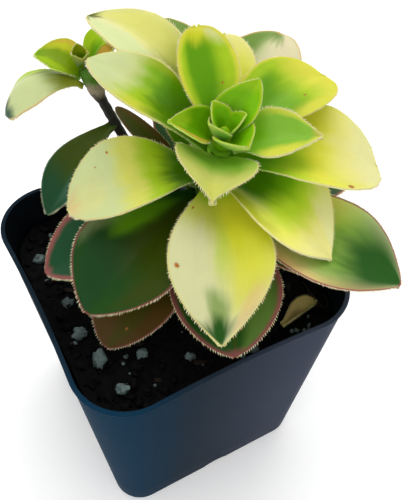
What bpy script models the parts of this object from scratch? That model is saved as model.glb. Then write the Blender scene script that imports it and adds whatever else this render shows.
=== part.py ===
"""Variegated aeonium in a square nursery pot: a large and a small rosette of toothed leaves.

Metres, +Z up. The origin is the middle of the pot's underside, and -Y and -X are the two
sides of the pot that face the viewer.
"""

import math
from collections import namedtuple

import bmesh
import bpy
from mathutils import Vector, noise

MM = 0.001

# Nursery pot: standard 3.5 inch square
POT_RIM_SIDE = 89.0 * MM
POT_BASE_SIDE = 74.0 * MM
POT_HEIGHT = 91.0 * MM
POT_RIM_CORNER = 16.5 * MM
POT_BASE_CORNER = 10.0 * MM
POT_SIDE_BOW = 0.8 * MM
POT_WALL = 1.0 * MM
POT_FLOOR = 1.4 * MM
POT_EDGE = 0.8 * MM
LIP_HEIGHT = 1.3 * MM
LIP_OUT = 0.5 * MM
DRAIN_RADIUS = 4.0 * MM
DRAIN_FROM_CENTRE = 22.0 * MM
NOTCH_WIDTH = 10.0 * MM
NOTCH_HEIGHT = 2.2 * MM
CORNER_STEPS = 5
SIDE_STEPS = 6

# Potting soil
SOIL_TOP = 80.0 * MM
SOIL_GAP = 0.35 * MM
SOIL_CELLS = 32
CRUMB_HEIGHT = 1.5 * MM
CRUMB_SIZE = 6.0 * MM
SOIL_DISH = 1.5 * MM
FINE_CRUMBS = 2.3
FINE_SHIFT = Vector((7.0, 3.0, 0.0))
GRAIN_REACH = 1.2
GRAIN_RISE = 0.6
STEM_HOLE_GAP = 0.35 * MM
STEM_HOLE_DEPTH = 12.0 * MM

# White grains that show as bumps: x, y, radius in millimetres
GRAINS = (
    (-34.0, 5.0, 2.4),
    (-35.0, -7.5, 3.0),
    (-33.0, -18.5, 3.6),
    (-31.0, -30.0, 2.8),
    (-21.0, -22.5, 2.2),
    (-9.0, -30.0, 2.2),
    (10.0, -36.0, 2.0),
    (33.0, 12.0, 2.6),
    (22.0, 33.0, 2.8),
    (-16.0, 35.0, 2.4),
    (-36.0, 26.0, 2.2),
    (35.0, -9.0, 2.0),
)

# Stems: each route starts in the soil and ends under the closed heart
MAIN_LOW = Vector((12.0, 4.5, 98.0)) * MM
MAIN_HIGH = Vector((18.4, 0.6, 138.0)) * MM
MAIN_STEM_TOP = 126.6 * MM
MAIN_STEM_FOOT = Vector((7.0, 5.5, 69.0)) * MM
MAIN_STEM_RADIUS = 3.4 * MM
SIDE_LOW = Vector((4.0, 44.0, 103.0)) * MM
SIDE_HIGH = Vector((-2.6, 55.0, 124.0)) * MM
SIDE_STEM_TOP = 124.4 * MM
SIDE_STEM_FOOT = Vector((10.0, 29.0, 69.0)) * MM
STEM_UPRIGHT = 1.2 * STEM_HOLE_DEPTH
MAIN_STEM_BENDS = (96.0 * MM, 112.0 * MM)
SIDE_STEM_MIDDLE = Vector((7.5, 37.0, 92.0)) * MM
SIDE_STEM_BENDS = (103.0 * MM, 114.5 * MM, 117.2 * MM, 122.0 * MM)
SIDE_STEM_RADIUS = 1.7 * MM
SIDE_NODE_RADIUS = 2.55 * MM
SIDE_NODE_FROM = 115.0
SIDE_STEM_SWELL = (1.0, 1.0, 1.0, 1.0, 1.0, 1.5, 1.45, 1.1)

# Leaves
SEAT_GAP = 0.5 * MM
ROOT_SHARE = 0.22
TIP_HALF = 0.35 * MM
LEAF_EDGE = 0.7 * MM
LEAF_THICK = 2.4 * MM
THICK_SHARE = 0.11
THIN_TO_TIP = 0.45
FOLD_ROUND = 0.2
TOOTH_OUT = 0.8 * MM
TOOTH_FORWARD = 0.5 * MM
BELLY_POWER = 1.35
ROLL_BY = 0.35
FOLD_LOST = 0.35
RIM_POWER = 2.2

# Colours
POT_COLOR = (0.012, 0.013, 0.018)
SOIL_COLOR = (0.025, 0.02, 0.018)
STEM_COLOR = (0.05, 0.03, 0.015)
LEAF_ROUGHNESS = 0.45
TINTS = {
    "green": (0.03, 0.16, 0.03),
    "teal": (0.03, 0.12, 0.08),
    "olive": (0.1, 0.1, 0.02),
    "brown": (0.16, 0.1, 0.04),
    "yellow": (0.65, 0.6, 0.12),
    "lime": (0.3, 0.45, 0.03),
    "dry": (0.35, 0.22, 0.08),
}

Leaf = namedtuple(
    "Leaf",
    "height azimuth length width pitch tip_pitch fold roll sway belly blunt tint",
)

# Height up the stem, length and width are in millimetres, and angles in degrees. Fold lifts
# both margins and roll lifts the left one. Sway is the share of the length that the tip bends
# left, belly is where the blade is widest, and blunt shapes the way from there to the tip.
MAIN_LEAVES = (
    Leaf(98.3, 20, 50, 28, 3, -18, 20, 0, 0.0, 0.58, 0.85, "green"),  # back right, lowest
    Leaf(99, 210.5, 47.5, 27, 0, -34, 22, 0, -0.04, 0.58, 0.65, "brown"),  # front left, old and brown
    Leaf(101.4, 66, 48, 28, 18, -6, 20, 0, 0.0, 0.58, 0.85, "green"),  # back, low
    Leaf(102, 253, 46, 34, 3, -25, 25, -5, 0.0, 0.6, 0.65, "green"),  # front, green, red margin
    Leaf(102.3, 352, 50, 28, 10, -18, 20, 0, 0.0, 0.58, 0.85, "green"),  # right, low
    Leaf(104, 176, 49, 29, 0, -28, 22, 0, -0.04, 0.58, 0.75, "teal"),  # left, teal, red margin
    Leaf(105.6, 41, 59.5, 29, 35, 12, 20, 4, -0.08, 0.6, 0.5, "green"),  # back right, striped
    Leaf(107, 107, 37.5, 7.5, 20, 12, 20, 0, 0.0, 0.55, 0.5, "olive"),  # back left, withered strap
    Leaf(106.75, 299, 40, 23.5, 2, -24, 22, 0, 0.0, 0.58, 0.85, "green"),  # front right, under
    Leaf(109.5, 76, 56, 26, 41.5, 12, 20, 0, 0.0, 0.6, 0.75, "green"),  # back, green
    Leaf(109.3, 203.8, 48.5, 34.5, 7, -33, 22, 0, -0.07, 0.58, 0.78, "green"),  # front left, dark green
    Leaf(109.3, 298.2, 59, 33, 4, -16, 20, 0, 0.1, 0.61, 0.8, "green"),  # front right, pink margin
    Leaf(112, 139, 27, 16, 20, 4, 20, 0, 0.0, 0.58, 0.85, "green"),  # left, small and deep green
    Leaf(114, 247.8, 49, 30, 11, -36, 22, 0, -0.05, 0.54, 0.95, "yellow"),  # front, large and yellow
    Leaf(113.2, 61, 43, 24, 45, 24, 20, 0, -0.1, 0.6, 0.5, "yellow"),  # back, pale yellow
    Leaf(117, 166.5, 41.5, 28.5, 24, -40, 22, -3, 0.01, 0.56, 0.75, "yellow"),  # left, cream
    Leaf(116.5, 304.3, 39.5, 31.5, 16, -36, 22, 0, -0.19, 0.54, 1.0, "yellow"),  # front right, yellow
    Leaf(118.9, 80, 58, 18.5, 61, -15, 26, -19, 0.4, 0.66, 0.75, "yellow"),  # top left, raised
    Leaf(122.3, 334.5, 43, 35.5, 14, -18, 20, 0, -0.04, 0.65, 0.42, "yellow"),  # right, yellow
    Leaf(125.2, 122.3, 42.5, 21.5, 39, 6, 22, 1, 0.02, 0.6, 0.75, "lime"),  # upper left, cream to green
    Leaf(125.7, 16, 37.6, 25, 25, -2, 22, 4, -0.08, 0.65, 0.38, "lime"),  # upper right, round
    Leaf(128.6, 78, 30.7, 18, 52, 30, 26, 0, 0.0, 0.57, 0.44, "lime"),  # back, upright and green
    Leaf(126.7, 229, 18.2, 24, 27, -24, 22, -6, 0.12, 0.33, 1.6, "lime"),  # front, under the heart
    Leaf(128, 328, 24.5, 18.5, 25, 0, 26, 9, 0.03, 0.42, 1.1, "lime"),  # right, beside the heart
    Leaf(130.6, 150, 14, 15, 42, 34, 30, -5, 0.25, 0.3, 1.0, "lime"),  # left, beside the heart
)
SIDE_LEAVES = (
    Leaf(107, 203, 37, 16, -4, -50, 20, 0, 0.0, 0.58, 0.85, "teal"),  # old one down the stem
    Leaf(118.0, 350, 6.5, 9.5, 72, 50, -20, 0, 0.0, 0.45, 0.6, "green"),  # right, small
    Leaf(120.6, 166, 33.5, 18.5, 46, -82, -24, 0, 0.02, 0.62, 0.5, "yellow"),  # left, large and drooping
    Leaf(123.5, 46, 14.5, 7.8, 44, 32, 30, 0, -0.12, 0.58, 0.75, "lime"),  # back
    Leaf(121.9, 141, 15.5, 17.5, 46, 4, 30, 0, 0.04, 0.42, 0.8, "lime"),  # left, green
    Leaf(122.1, 354, 11, 7.5, 58, 34, 55, 0, 0.22, 0.55, 0.6, "brown"),  # right, folded
)
# The closed hearts: leaves that still stand against each other
MAIN_HEART = (
    Leaf(130, 31, 18, 14, 50, 56, 35, 0, -0.2, 0.45, 0.8, "lime"),
    Leaf(130.2, 274, 11.5, 15, 24, 40, 45, 0, 0.0, 0.5, 0.8, "lime"),
    Leaf(131.6, 112, 10, 9, 66, 74, 40, 0, 0.0, 0.5, 0.8, "lime"),
    Leaf(131.6, 338, 8.5, 8, 58, 66, 40, 0, 0.0, 0.5, 0.8, "lime"),
    Leaf(130.4, 190, 9, 9.5, 58, 70, 40, 0, 0.0, 0.5, 0.8, "lime"),
)
SIDE_HEART = (
    Leaf(126.0, 80, 5.5, 5.5, 66, 74, 40, 0, 0.0, 0.5, 0.8, "lime"),
    Leaf(126.0, 200, 5, 5.5, 66, 76, 40, 0, 0.0, 0.5, 0.8, "lime"),
    Leaf(126.0, 320, 4.5, 5, 66, 78, 40, 0, 0.0, 0.5, 0.8, "lime"),
)
HEART_SEAT = 1.2 * MM
HEART_TOOTH = 0.35 * MM
HEART_BUD_RADIUS = 3.2 * MM
SIDE_BUD_RADIUS = 1.5 * MM
LARGE_LEAF = 28.0
FALLEN_LEAF = Leaf(0, 2, 14.5, 9, 14, -14, 62, -14, 0.2, 0.5, 0.7, "dry")
FALLEN_LEAF_START = Vector((22.0, -33.5, 79.9)) * MM


def clear_scene():
    for obj in list(bpy.data.objects):
        bpy.data.objects.remove(obj, do_unlink=True)
    bpy.context.scene.unit_settings.system = "METRIC"
    bpy.context.scene.unit_settings.scale_length = 1.0


def new_collection(name):
    collection = bpy.data.collections.new(name)
    bpy.context.scene.collection.children.link(collection)
    return collection


def new_material(name, color, roughness):
    material = bpy.data.materials.new(name)
    material.use_nodes = True
    shader = material.node_tree.nodes["Principled BSDF"]
    shader.inputs["Base Color"].default_value = (*color, 1.0)
    shader.inputs["Roughness"].default_value = roughness
    shader.inputs["Metallic"].default_value = 0.0
    material.diffuse_color = (*color, 1.0)
    return material


def face_outwards(bm):
    bmesh.ops.recalc_face_normals(bm, faces=bm.faces[:])
    if bm.calc_volume(signed=True) < 0:
        bmesh.ops.reverse_faces(bm, faces=bm.faces[:])


def mesh_object(name, bm, collection, material):
    face_outwards(bm)
    mesh = bpy.data.meshes.new(name)
    bm.to_mesh(mesh)
    bm.free()
    mesh.shade_smooth()
    mesh.set_sharp_from_angle(angle=math.radians(35))
    mesh.materials.append(material)
    obj = bpy.data.objects.new(name, mesh)
    collection.objects.link(obj)
    return obj


def rounded_square(half, corner, height, bow=0.0):
    """Points round a square whose corners are arcs and whose sides bow inwards a little."""
    points = []
    straight = half - corner
    for quarter in range(4):
        turn = math.radians(90 * quarter)
        side = []
        for step in range(SIDE_STEPS):
            along = -straight + 2 * straight * step / SIDE_STEPS
            inward = bow * math.cos(math.pi / 2 * along / straight)
            side.append((half - inward, along))
        for step in range(CORNER_STEPS):
            angle = math.pi / 2 * step / CORNER_STEPS
            side.append((straight + corner * math.cos(angle), straight + corner * math.sin(angle)))
        for x, y in side:
            points.append(
                Vector((
                    x * math.cos(turn) - y * math.sin(turn),
                    x * math.sin(turn) + y * math.cos(turn),
                    height,
                ))
            )
    return points


def pot_ring(height, inset, level=None):
    """One ring of the pot's taper at a height, moved inwards by inset."""
    share = height / POT_HEIGHT
    half = 0.5 * (POT_BASE_SIDE + (POT_RIM_SIDE - POT_BASE_SIDE) * share) - inset
    corner = POT_BASE_CORNER + (POT_RIM_CORNER - POT_BASE_CORNER) * share - inset
    return rounded_square(half, corner, height if level is None else level, POT_SIDE_BOW * share)


def loft(bm, rings):
    """Skin a list of rings with equal counts, and close both ends."""
    made = [[bm.verts.new(point) for point in ring] for ring in rings]
    for low, high in zip(made, made[1:]):
        count = len(low)
        for i in range(count):
            bm.faces.new((low[i], low[(i + 1) % count], high[(i + 1) % count], high[i]))
    bm.faces.new(list(reversed(made[0])))
    bm.faces.new(made[-1])
    return made


def cutter(name, collection):
    obj = bpy.context.active_object
    obj.name = name
    obj.hide_render = True
    obj.display_type = "WIRE"
    for other in list(obj.users_collection):
        other.objects.unlink(obj)
    collection.objects.link(obj)
    return obj


def cut(obj, tool):
    modifier = obj.modifiers.new("Cut " + tool.name, "BOOLEAN")
    modifier.operation = "DIFFERENCE"
    modifier.solver = "EXACT"
    modifier.object = tool


def make_pot(parts, cutters, material):
    lip_start = POT_HEIGHT - LIP_HEIGHT
    bm = bmesh.new()
    loft(
        bm,
        [
            pot_ring(0.0, POT_EDGE, 0.0),
            pot_ring(POT_EDGE, 0.0),
            pot_ring(lip_start, 0.0),
            pot_ring(lip_start, -LIP_OUT, lip_start + 0.3 * MM),
            pot_ring(POT_HEIGHT, -LIP_OUT),
            pot_ring(POT_HEIGHT, POT_WALL),
            pot_ring(POT_FLOOR + POT_EDGE, POT_WALL),
            pot_ring(POT_FLOOR, POT_WALL + POT_EDGE),
        ],
    )
    pot = mesh_object("nursery_pot", bm, parts, material)
    for quarter in range(4):
        angle = math.radians(90 * quarter)
        diagonal = angle + math.radians(45)
        bpy.ops.mesh.primitive_cylinder_add(
            vertices=16,
            radius=DRAIN_RADIUS,
            depth=4 * POT_FLOOR,
            location=(
                DRAIN_FROM_CENTRE * math.sqrt(2) * math.cos(diagonal),
                DRAIN_FROM_CENTRE * math.sqrt(2) * math.sin(diagonal),
                0.0,
            ),
        )
        cut(pot, cutter(f"drain_hole_{quarter + 1}", cutters))
        bpy.ops.mesh.primitive_cylinder_add(
            vertices=16,
            radius=NOTCH_WIDTH / 2,
            depth=8 * POT_FLOOR,
            location=(0.5 * POT_BASE_SIDE * math.cos(angle), 0.5 * POT_BASE_SIDE * math.sin(angle), 0.0),
            rotation=(math.radians(90), 0.0, angle + math.radians(90)),
        )
        notch = cutter(f"drain_notch_{quarter + 1}", cutters)
        notch.scale = (1.0, NOTCH_HEIGHT / (NOTCH_WIDTH / 2), 1.0)
        cut(pot, notch)
    return pot


def soil_height(x, y):
    """Top of the soil: crumbs from layered noise, a shallow dish, and a bump for each grain."""
    place = Vector((x, y, 0.0)) / CRUMB_SIZE
    height = SOIL_TOP + CRUMB_HEIGHT * noise.noise(place)
    height += 0.5 * CRUMB_HEIGHT * noise.noise(place * FINE_CRUMBS + FINE_SHIFT)
    height -= SOIL_DISH * math.hypot(x, y) / (0.5 * POT_RIM_SIDE)
    for grain_x, grain_y, radius in GRAINS:
        away = math.hypot(x - grain_x * MM, y - grain_y * MM) / (radius * MM)
        if away < GRAIN_REACH:
            height += GRAIN_RISE * radius * MM * math.cos(math.pi / 2 * away / GRAIN_REACH)
    return height


def make_soil(parts, cutters, material):
    """A grid pulled to the pot's rounded square, with its rim taken straight down the wall."""
    bm = bmesh.new()
    bmesh.ops.create_grid(bm, x_segments=SOIL_CELLS, y_segments=SOIL_CELLS, size=1.0)
    half_top = pot_half_inside(SOIL_TOP)
    corner = POT_RIM_CORNER - POT_WALL
    for vert in bm.verts:
        u, v = vert.co.x, vert.co.y
        reach = max(abs(u), abs(v))
        if reach > 1e-6:
            x, y = to_rounded(u / reach, v / reach, half_top, corner)
            vert.co.x, vert.co.y = x * reach, y * reach
        vert.co.z = soil_height(vert.co.x, vert.co.y)
    bmesh.ops.triangulate(bm, faces=bm.faces[:])
    rim = [edge for edge in bm.edges if edge.is_boundary]
    shrink = (pot_half_inside(POT_FLOOR) - POT_EDGE) / half_top
    low = bmesh.ops.extrude_edge_only(bm, edges=rim)["geom"]
    for vert in (item for item in low if isinstance(item, bmesh.types.BMVert)):
        vert.co = Vector((vert.co.x * shrink, vert.co.y * shrink, POT_FLOOR + SOIL_GAP))
    bmesh.ops.holes_fill(bm, edges=[edge for edge in bm.edges if edge.is_boundary])
    soil = mesh_object("potting_soil", bm, parts, material)
    for name, route, swell, radius in stem_routes():
        foot = route[0]
        bpy.ops.mesh.primitive_cylinder_add(
            vertices=16,
            radius=radius + STEM_HOLE_GAP,
            depth=4 * STEM_HOLE_DEPTH,
            location=foot + Vector((0.0, 0.0, 2 * STEM_HOLE_DEPTH - STEM_HOLE_GAP)),
        )
        cut(soil, cutter(f"hole_for_{name}", cutters))
    return soil


def pot_half_inside(height):
    share = height / POT_HEIGHT
    outer = 0.5 * (POT_BASE_SIDE + (POT_RIM_SIDE - POT_BASE_SIDE) * share)
    return outer - POT_WALL - POT_SIDE_BOW * share - SOIL_GAP


def to_rounded(u, v, half, corner):
    """The point of a rounded square in the direction of a point on the unit square's edge."""
    straight = half - corner
    x, y = u * half, v * half
    over_x, over_y = max(0.0, abs(x) - straight), max(0.0, abs(y) - straight)
    if over_x > 0 and over_y > 0:
        scale = corner / max(math.hypot(over_x, over_y), corner)
        x = math.copysign(straight + over_x * scale, x)
        y = math.copysign(straight + over_y * scale, y)
    return x, y


def on_axis(low, high, height):
    return low + (high - low) * ((height - low.z) / (high.z - low.z))


def stem_routes():
    """Each stem stands upright in its hole, then bends to its rosette's axis."""
    main = [MAIN_STEM_FOOT, MAIN_STEM_FOOT + Vector((0.0, 0.0, STEM_UPRIGHT))]
    main += [on_axis(MAIN_LOW, MAIN_HIGH, z) for z in (*MAIN_STEM_BENDS, MAIN_STEM_TOP)]
    side = [SIDE_STEM_FOOT, SIDE_STEM_FOOT + Vector((0.0, 0.0, STEM_UPRIGHT)), SIDE_STEM_MIDDLE]
    side += [on_axis(SIDE_LOW, SIDE_HIGH, z) for z in (*SIDE_STEM_BENDS, SIDE_STEM_TOP)]
    even = [1.0] * len(main)
    return (
        ("main_stem", main, even, MAIN_STEM_RADIUS),
        ("side_stem", side, SIDE_STEM_SWELL, SIDE_STEM_RADIUS),
    )


def make_stem(name, route, swell, radius, parts, material):
    curve = bpy.data.curves.new(name, "CURVE")
    curve.dimensions = "3D"
    curve.bevel_depth = radius
    curve.bevel_resolution = 3
    curve.use_fill_caps = True
    spline = curve.splines.new("POLY")
    spline.points.add(len(route) - 1)
    for point, place, share in zip(spline.points, route, swell):
        point.co = (*place, 1.0)
        point.radius = share
    curve.materials.append(material)
    obj = bpy.data.objects.new(name, curve)
    parts.objects.link(obj)
    return obj


def half_width(leaf, s):
    if s < leaf.belly:
        share = ROOT_SHARE + (1 - ROOT_SHARE) * math.sin(math.pi / 2 * s / leaf.belly) ** BELLY_POWER
    elif s < 1.0:
        share = math.cos(math.pi / 2 * (s - leaf.belly) / (1 - leaf.belly)) ** leaf.blunt
    else:
        share = 0.0
    return max(TIP_HALF, 0.5 * leaf.width * MM * share)


def leaf_point(leaf, start, s, v, depth=0.0):
    """A point of the leaf: s from stem to tip, v from right to left margin, depth below the top."""
    length = leaf.length * MM
    azimuth = math.radians(leaf.azimuth)
    pitch = math.radians(leaf.pitch)
    turn = math.radians(leaf.tip_pitch - leaf.pitch) or 1e-4
    here = pitch + turn * s
    out = length * (math.sin(here) - math.sin(pitch)) / turn
    rise = length * (math.cos(pitch) - math.cos(here)) / turn
    width = half_width(leaf, s)
    roll = math.radians(leaf.roll) * min(1.0, s / ROLL_BY)
    fold = math.radians(leaf.fold) * (1 - FOLD_LOST * s)
    across = width * v * math.cos(fold)
    valley = (math.hypot(v, FOLD_ROUND) - FOLD_ROUND) / (math.hypot(1.0, FOLD_ROUND) - FOLD_ROUND)
    lift = width * math.sin(fold) * valley - depth
    side = across * math.cos(roll) - lift * math.sin(roll) + length * leaf.sway * s * s
    normal = across * math.sin(roll) + lift * math.cos(roll)
    out -= math.sin(here) * normal
    rise += math.cos(here) * normal
    return start + Vector((
        math.cos(azimuth) * out - math.sin(azimuth) * side,
        math.sin(azimuth) * out + math.cos(azimuth) * side,
        rise,
    ))


def leaf_depth(leaf, s, v):
    middle = min(LEAF_THICK, THICK_SHARE * leaf.width * MM) * (1 - THIN_TO_TIP * s)
    return LEAF_EDGE + max(0.0, middle - LEAF_EDGE) * (1 - abs(v) ** RIM_POWER)


def leaf_mesh(leaf, start, rows, splits, tooth_out=TOOTH_OUT):
    """A grid bent to the leaf's form, given its thickness, with each rim face drawn to a tooth."""
    bm = bmesh.new()
    bmesh.ops.create_grid(bm, x_segments=rows, y_segments=4, size=0.5)
    margins = [
        edge
        for edge in bm.edges
        if edge.is_boundary and all(abs(vert.co.y) > 0.49 for vert in edge.verts)
    ]
    bmesh.ops.subdivide_edges(bm, edges=margins, cuts=splits)
    bmesh.ops.triangulate(bm, faces=bm.faces[:])
    ends = [vert for vert in bm.verts if vert.co.x < -0.49]
    grown = bmesh.ops.extrude_face_region(bm, geom=bm.faces[:])["geom"]
    under = {item for item in grown if isinstance(item, bmesh.types.BMVert)}
    for vert in bm.verts:
        s, v = vert.co.x + 0.5, 2 * vert.co.y
        depth = leaf_depth(leaf, s, v) if vert in under else 0.0
        vert.co = leaf_point(leaf, start, s, v, depth)
    face_outwards(bm)
    rim = [
        face
        for face in bm.faces
        if len(face.verts) == 4 and sum(vert in ends for vert in face.verts) < 2
    ]
    teeth = bmesh.ops.poke(bm, faces=rim, offset=tooth_out)["verts"]
    tip = leaf_point(leaf, start, 1.0, 0.0)
    for tooth in teeth:
        ahead = tip - tooth.co
        if ahead.length > TOOTH_FORWARD:
            tooth.co += ahead.normalized() * TOOTH_FORWARD
    bmesh.ops.triangulate(bm, faces=bm.faces[:])
    return bm


def leaf_start(leaf, low, high, away):
    azimuth = math.radians(leaf.azimuth)
    outwards = Vector((math.cos(azimuth), math.sin(azimuth), 0.0))
    return on_axis(low, high, leaf.height * MM) + outwards * away


def main_stem_radius(height):
    return MAIN_STEM_RADIUS


def side_stem_radius(height):
    """The side stem is thicker where its leaves stand."""
    return SIDE_NODE_RADIUS if height > SIDE_NODE_FROM else SIDE_STEM_RADIUS


def make_leaves(name, leaves, low, high, stem_radius, parts):
    for number, leaf in enumerate(leaves, start=1):
        large = leaf.width * leaf.length > LARGE_LEAF * LARGE_LEAF
        start = leaf_start(leaf, low, high, stem_radius(leaf.height) + SEAT_GAP)
        bm = leaf_mesh(leaf, start, rows=7 if large else 6, splits=2 if large else 1)
        node = f"{name}_{number:02d}"
        mesh_object(node, bm, parts, new_material(node, TINTS[leaf.tint], LEAF_ROUGHNESS))


def make_heart(name, leaves, low, high, bud_radius, parts):
    """The youngest leaves round a small bud, joined into one body."""
    material = new_material(name, TINTS[leaves[0].tint], LEAF_ROUGHNESS)
    middle = on_axis(low, high, leaves[0].height * MM)
    bm = bmesh.new()
    bmesh.ops.create_uvsphere(bm, u_segments=10, v_segments=6, radius=bud_radius)
    bmesh.ops.translate(bm, verts=bm.verts[:], vec=middle)
    heart = mesh_object(name, bm, parts, material)
    pieces = bpy.data.collections.new(name + "_pieces")
    bpy.context.scene.collection.children.link(pieces)
    for number, leaf in enumerate(leaves, start=1):
        start = leaf_start(leaf, low, high, HEART_SEAT)
        bm = leaf_mesh(leaf, start, rows=5, splits=1, tooth_out=HEART_TOOTH)
        mesh_object(f"{name}_{number}", bm, pieces, material)
    union = heart.modifiers.new("Join the heart", "BOOLEAN")
    union.operation = "UNION"
    union.solver = "EXACT"
    union.operand_type = "COLLECTION"
    union.collection = pieces
    bpy.context.view_layer.update()
    graph = bpy.context.evaluated_depsgraph_get()
    joined = bpy.data.meshes.new_from_object(heart.evaluated_get(graph))
    heart.modifiers.clear()
    heart.data = joined
    for piece in list(pieces.objects):
        bpy.data.objects.remove(piece, do_unlink=True)
    bpy.data.collections.remove(pieces)
    return heart


def main():
    clear_scene()
    parts = new_collection("potted_aeonium")
    cutters = new_collection("cutters")
    cutters.hide_render = True
    make_pot(parts, cutters, new_material("nursery_pot", POT_COLOR, 0.35))
    make_soil(parts, cutters, new_material("potting_soil", SOIL_COLOR, 0.95))
    for name, route, swell, radius in stem_routes():
        make_stem(name, route, swell, radius, parts, new_material(name, STEM_COLOR, 0.8))
    make_leaves("main_leaf", MAIN_LEAVES, MAIN_LOW, MAIN_HIGH, main_stem_radius, parts)
    make_leaves("side_leaf", SIDE_LEAVES, SIDE_LOW, SIDE_HIGH, side_stem_radius, parts)
    make_heart("main_heart", MAIN_HEART, MAIN_LOW, MAIN_HIGH, HEART_BUD_RADIUS, parts)
    make_heart("side_heart", SIDE_HEART, SIDE_LOW, SIDE_HIGH, SIDE_BUD_RADIUS, parts)
    dry = new_material("fallen_leaf", TINTS[FALLEN_LEAF.tint], 0.8)
    bm = leaf_mesh(FALLEN_LEAF, FALLEN_LEAF_START, rows=6, splits=1)
    mesh_object("fallen_leaf", bm, parts, dry)


main()
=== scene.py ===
"""Variegated aeonium in a square nursery pot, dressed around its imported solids.

Run it as a script in Blender 4.5. Each operator builds one piece, or one group of like
pieces, at the place of its solid. Sizes are in metres, and colours and finishes are made
with shader nodes only.
"""

import math
import random
from collections import namedtuple

import bmesh
import bpy
from mathutils import Euler, Matrix, Vector, noise


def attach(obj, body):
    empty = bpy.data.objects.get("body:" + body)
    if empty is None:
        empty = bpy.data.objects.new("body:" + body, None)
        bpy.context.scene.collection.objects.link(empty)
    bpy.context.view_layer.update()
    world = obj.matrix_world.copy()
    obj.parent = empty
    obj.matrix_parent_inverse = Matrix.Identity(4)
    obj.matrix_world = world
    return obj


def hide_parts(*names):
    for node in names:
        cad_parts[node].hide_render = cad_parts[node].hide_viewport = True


bl_info = {
    "name": "Potted aeonium",
    "version": (1, 0, 0),
    "blender": (4, 5, 0),
    "location": "3D View > Sidebar > Aeonium",
    "description": "Builds a variegated aeonium in a square nursery pot",
    "category": "Add Mesh",
}

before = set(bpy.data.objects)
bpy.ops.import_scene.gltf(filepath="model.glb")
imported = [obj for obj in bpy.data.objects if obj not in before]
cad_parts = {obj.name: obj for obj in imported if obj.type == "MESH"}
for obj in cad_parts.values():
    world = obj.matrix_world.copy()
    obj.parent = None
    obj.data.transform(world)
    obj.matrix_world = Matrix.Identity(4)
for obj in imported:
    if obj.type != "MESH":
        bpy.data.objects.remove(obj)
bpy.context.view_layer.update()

MM = 0.001
BODY = "root"


def srgb(red, green, blue):
    """A screen colour, 0 to 255, as the linear colour that shaders use."""
    linear = []
    for value in (red, green, blue):
        share = value / 255
        linear.append(share / 12.92 if share <= 0.04045 else ((share + 0.055) / 1.055) ** 2.4)
    return tuple(linear)


def length_setting(name, description, millimetres):
    return bpy.props.FloatProperty(
        name=name,
        description=description,
        default=millimetres * MM,
        min=0.0,
        unit="LENGTH",
        precision=5,
    )


def color_setting(name, description, default):
    return bpy.props.FloatVectorProperty(
        name=name,
        description=description,
        default=default,
        subtype="COLOR",
        size=3,
        min=0.0,
        max=1.0,
    )


def paint_setting(name, description, red, green, blue):
    return color_setting(name, description, srgb(red, green, blue))


# Settings


class PotSettings(bpy.types.PropertyGroup):
    rim_side: length_setting("Rim side", "Width of the pot over its rim", 89.0)
    base_side: length_setting("Base side", "Width of the pot at its base", 74.0)
    height: length_setting("Height", "Height of the pot", 91.0)
    rim_corner: length_setting("Rim corner", "Corner radius at the rim", 16.5)
    base_corner: length_setting("Base corner", "Corner radius at the base", 10.0)
    side_bow: length_setting("Side bow", "How far each side bows inwards at the rim", 0.8)
    wall: length_setting("Wall", "Thickness of the plastic", 1.0)
    floor: length_setting("Floor", "Thickness of the pot's floor", 1.4)
    plastic: paint_setting("Plastic", "Colour of the plastic", 24, 35, 44)
    # Floor reflection: a painted reflection of the bright floor, which lightens the plastic towards
    # +x.
    floor_reflection: paint_setting("Floor reflection", "Colour of the plastic where dust lies on it", 60, 67, 82)
    # Sheen: a painted reflection, a bluish band laid on the front left corner of the plastic.
    sheen: paint_setting("Sheen", "Bluish colour of the rubbed corners", 10, 54, 80)


class SoilSettings(bpy.types.PropertyGroup):
    top: length_setting("Top", "Height of the soil in the pot", 80.0)
    crumb_height: length_setting("Crumb height", "Height of the soil's relief", 1.5)
    crumb_size: length_setting("Crumb size", "Width of the soil's relief", 6.0)
    dish: length_setting("Dish", "How far the soil sinks towards the wall", 1.5)
    earth: paint_setting("Earth", "Colour of damp soil", 11, 10, 10)
    bark: paint_setting("Bark", "Colour of bark chips", 34, 27, 21)
    grain: paint_setting("Grain", "Colour of the pale grains", 112, 130, 128)
    crumbs: bpy.props.IntProperty(
        name="Crumbs", description="How many loose crumbs lie on the soil", default=520, min=0
    )


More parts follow.
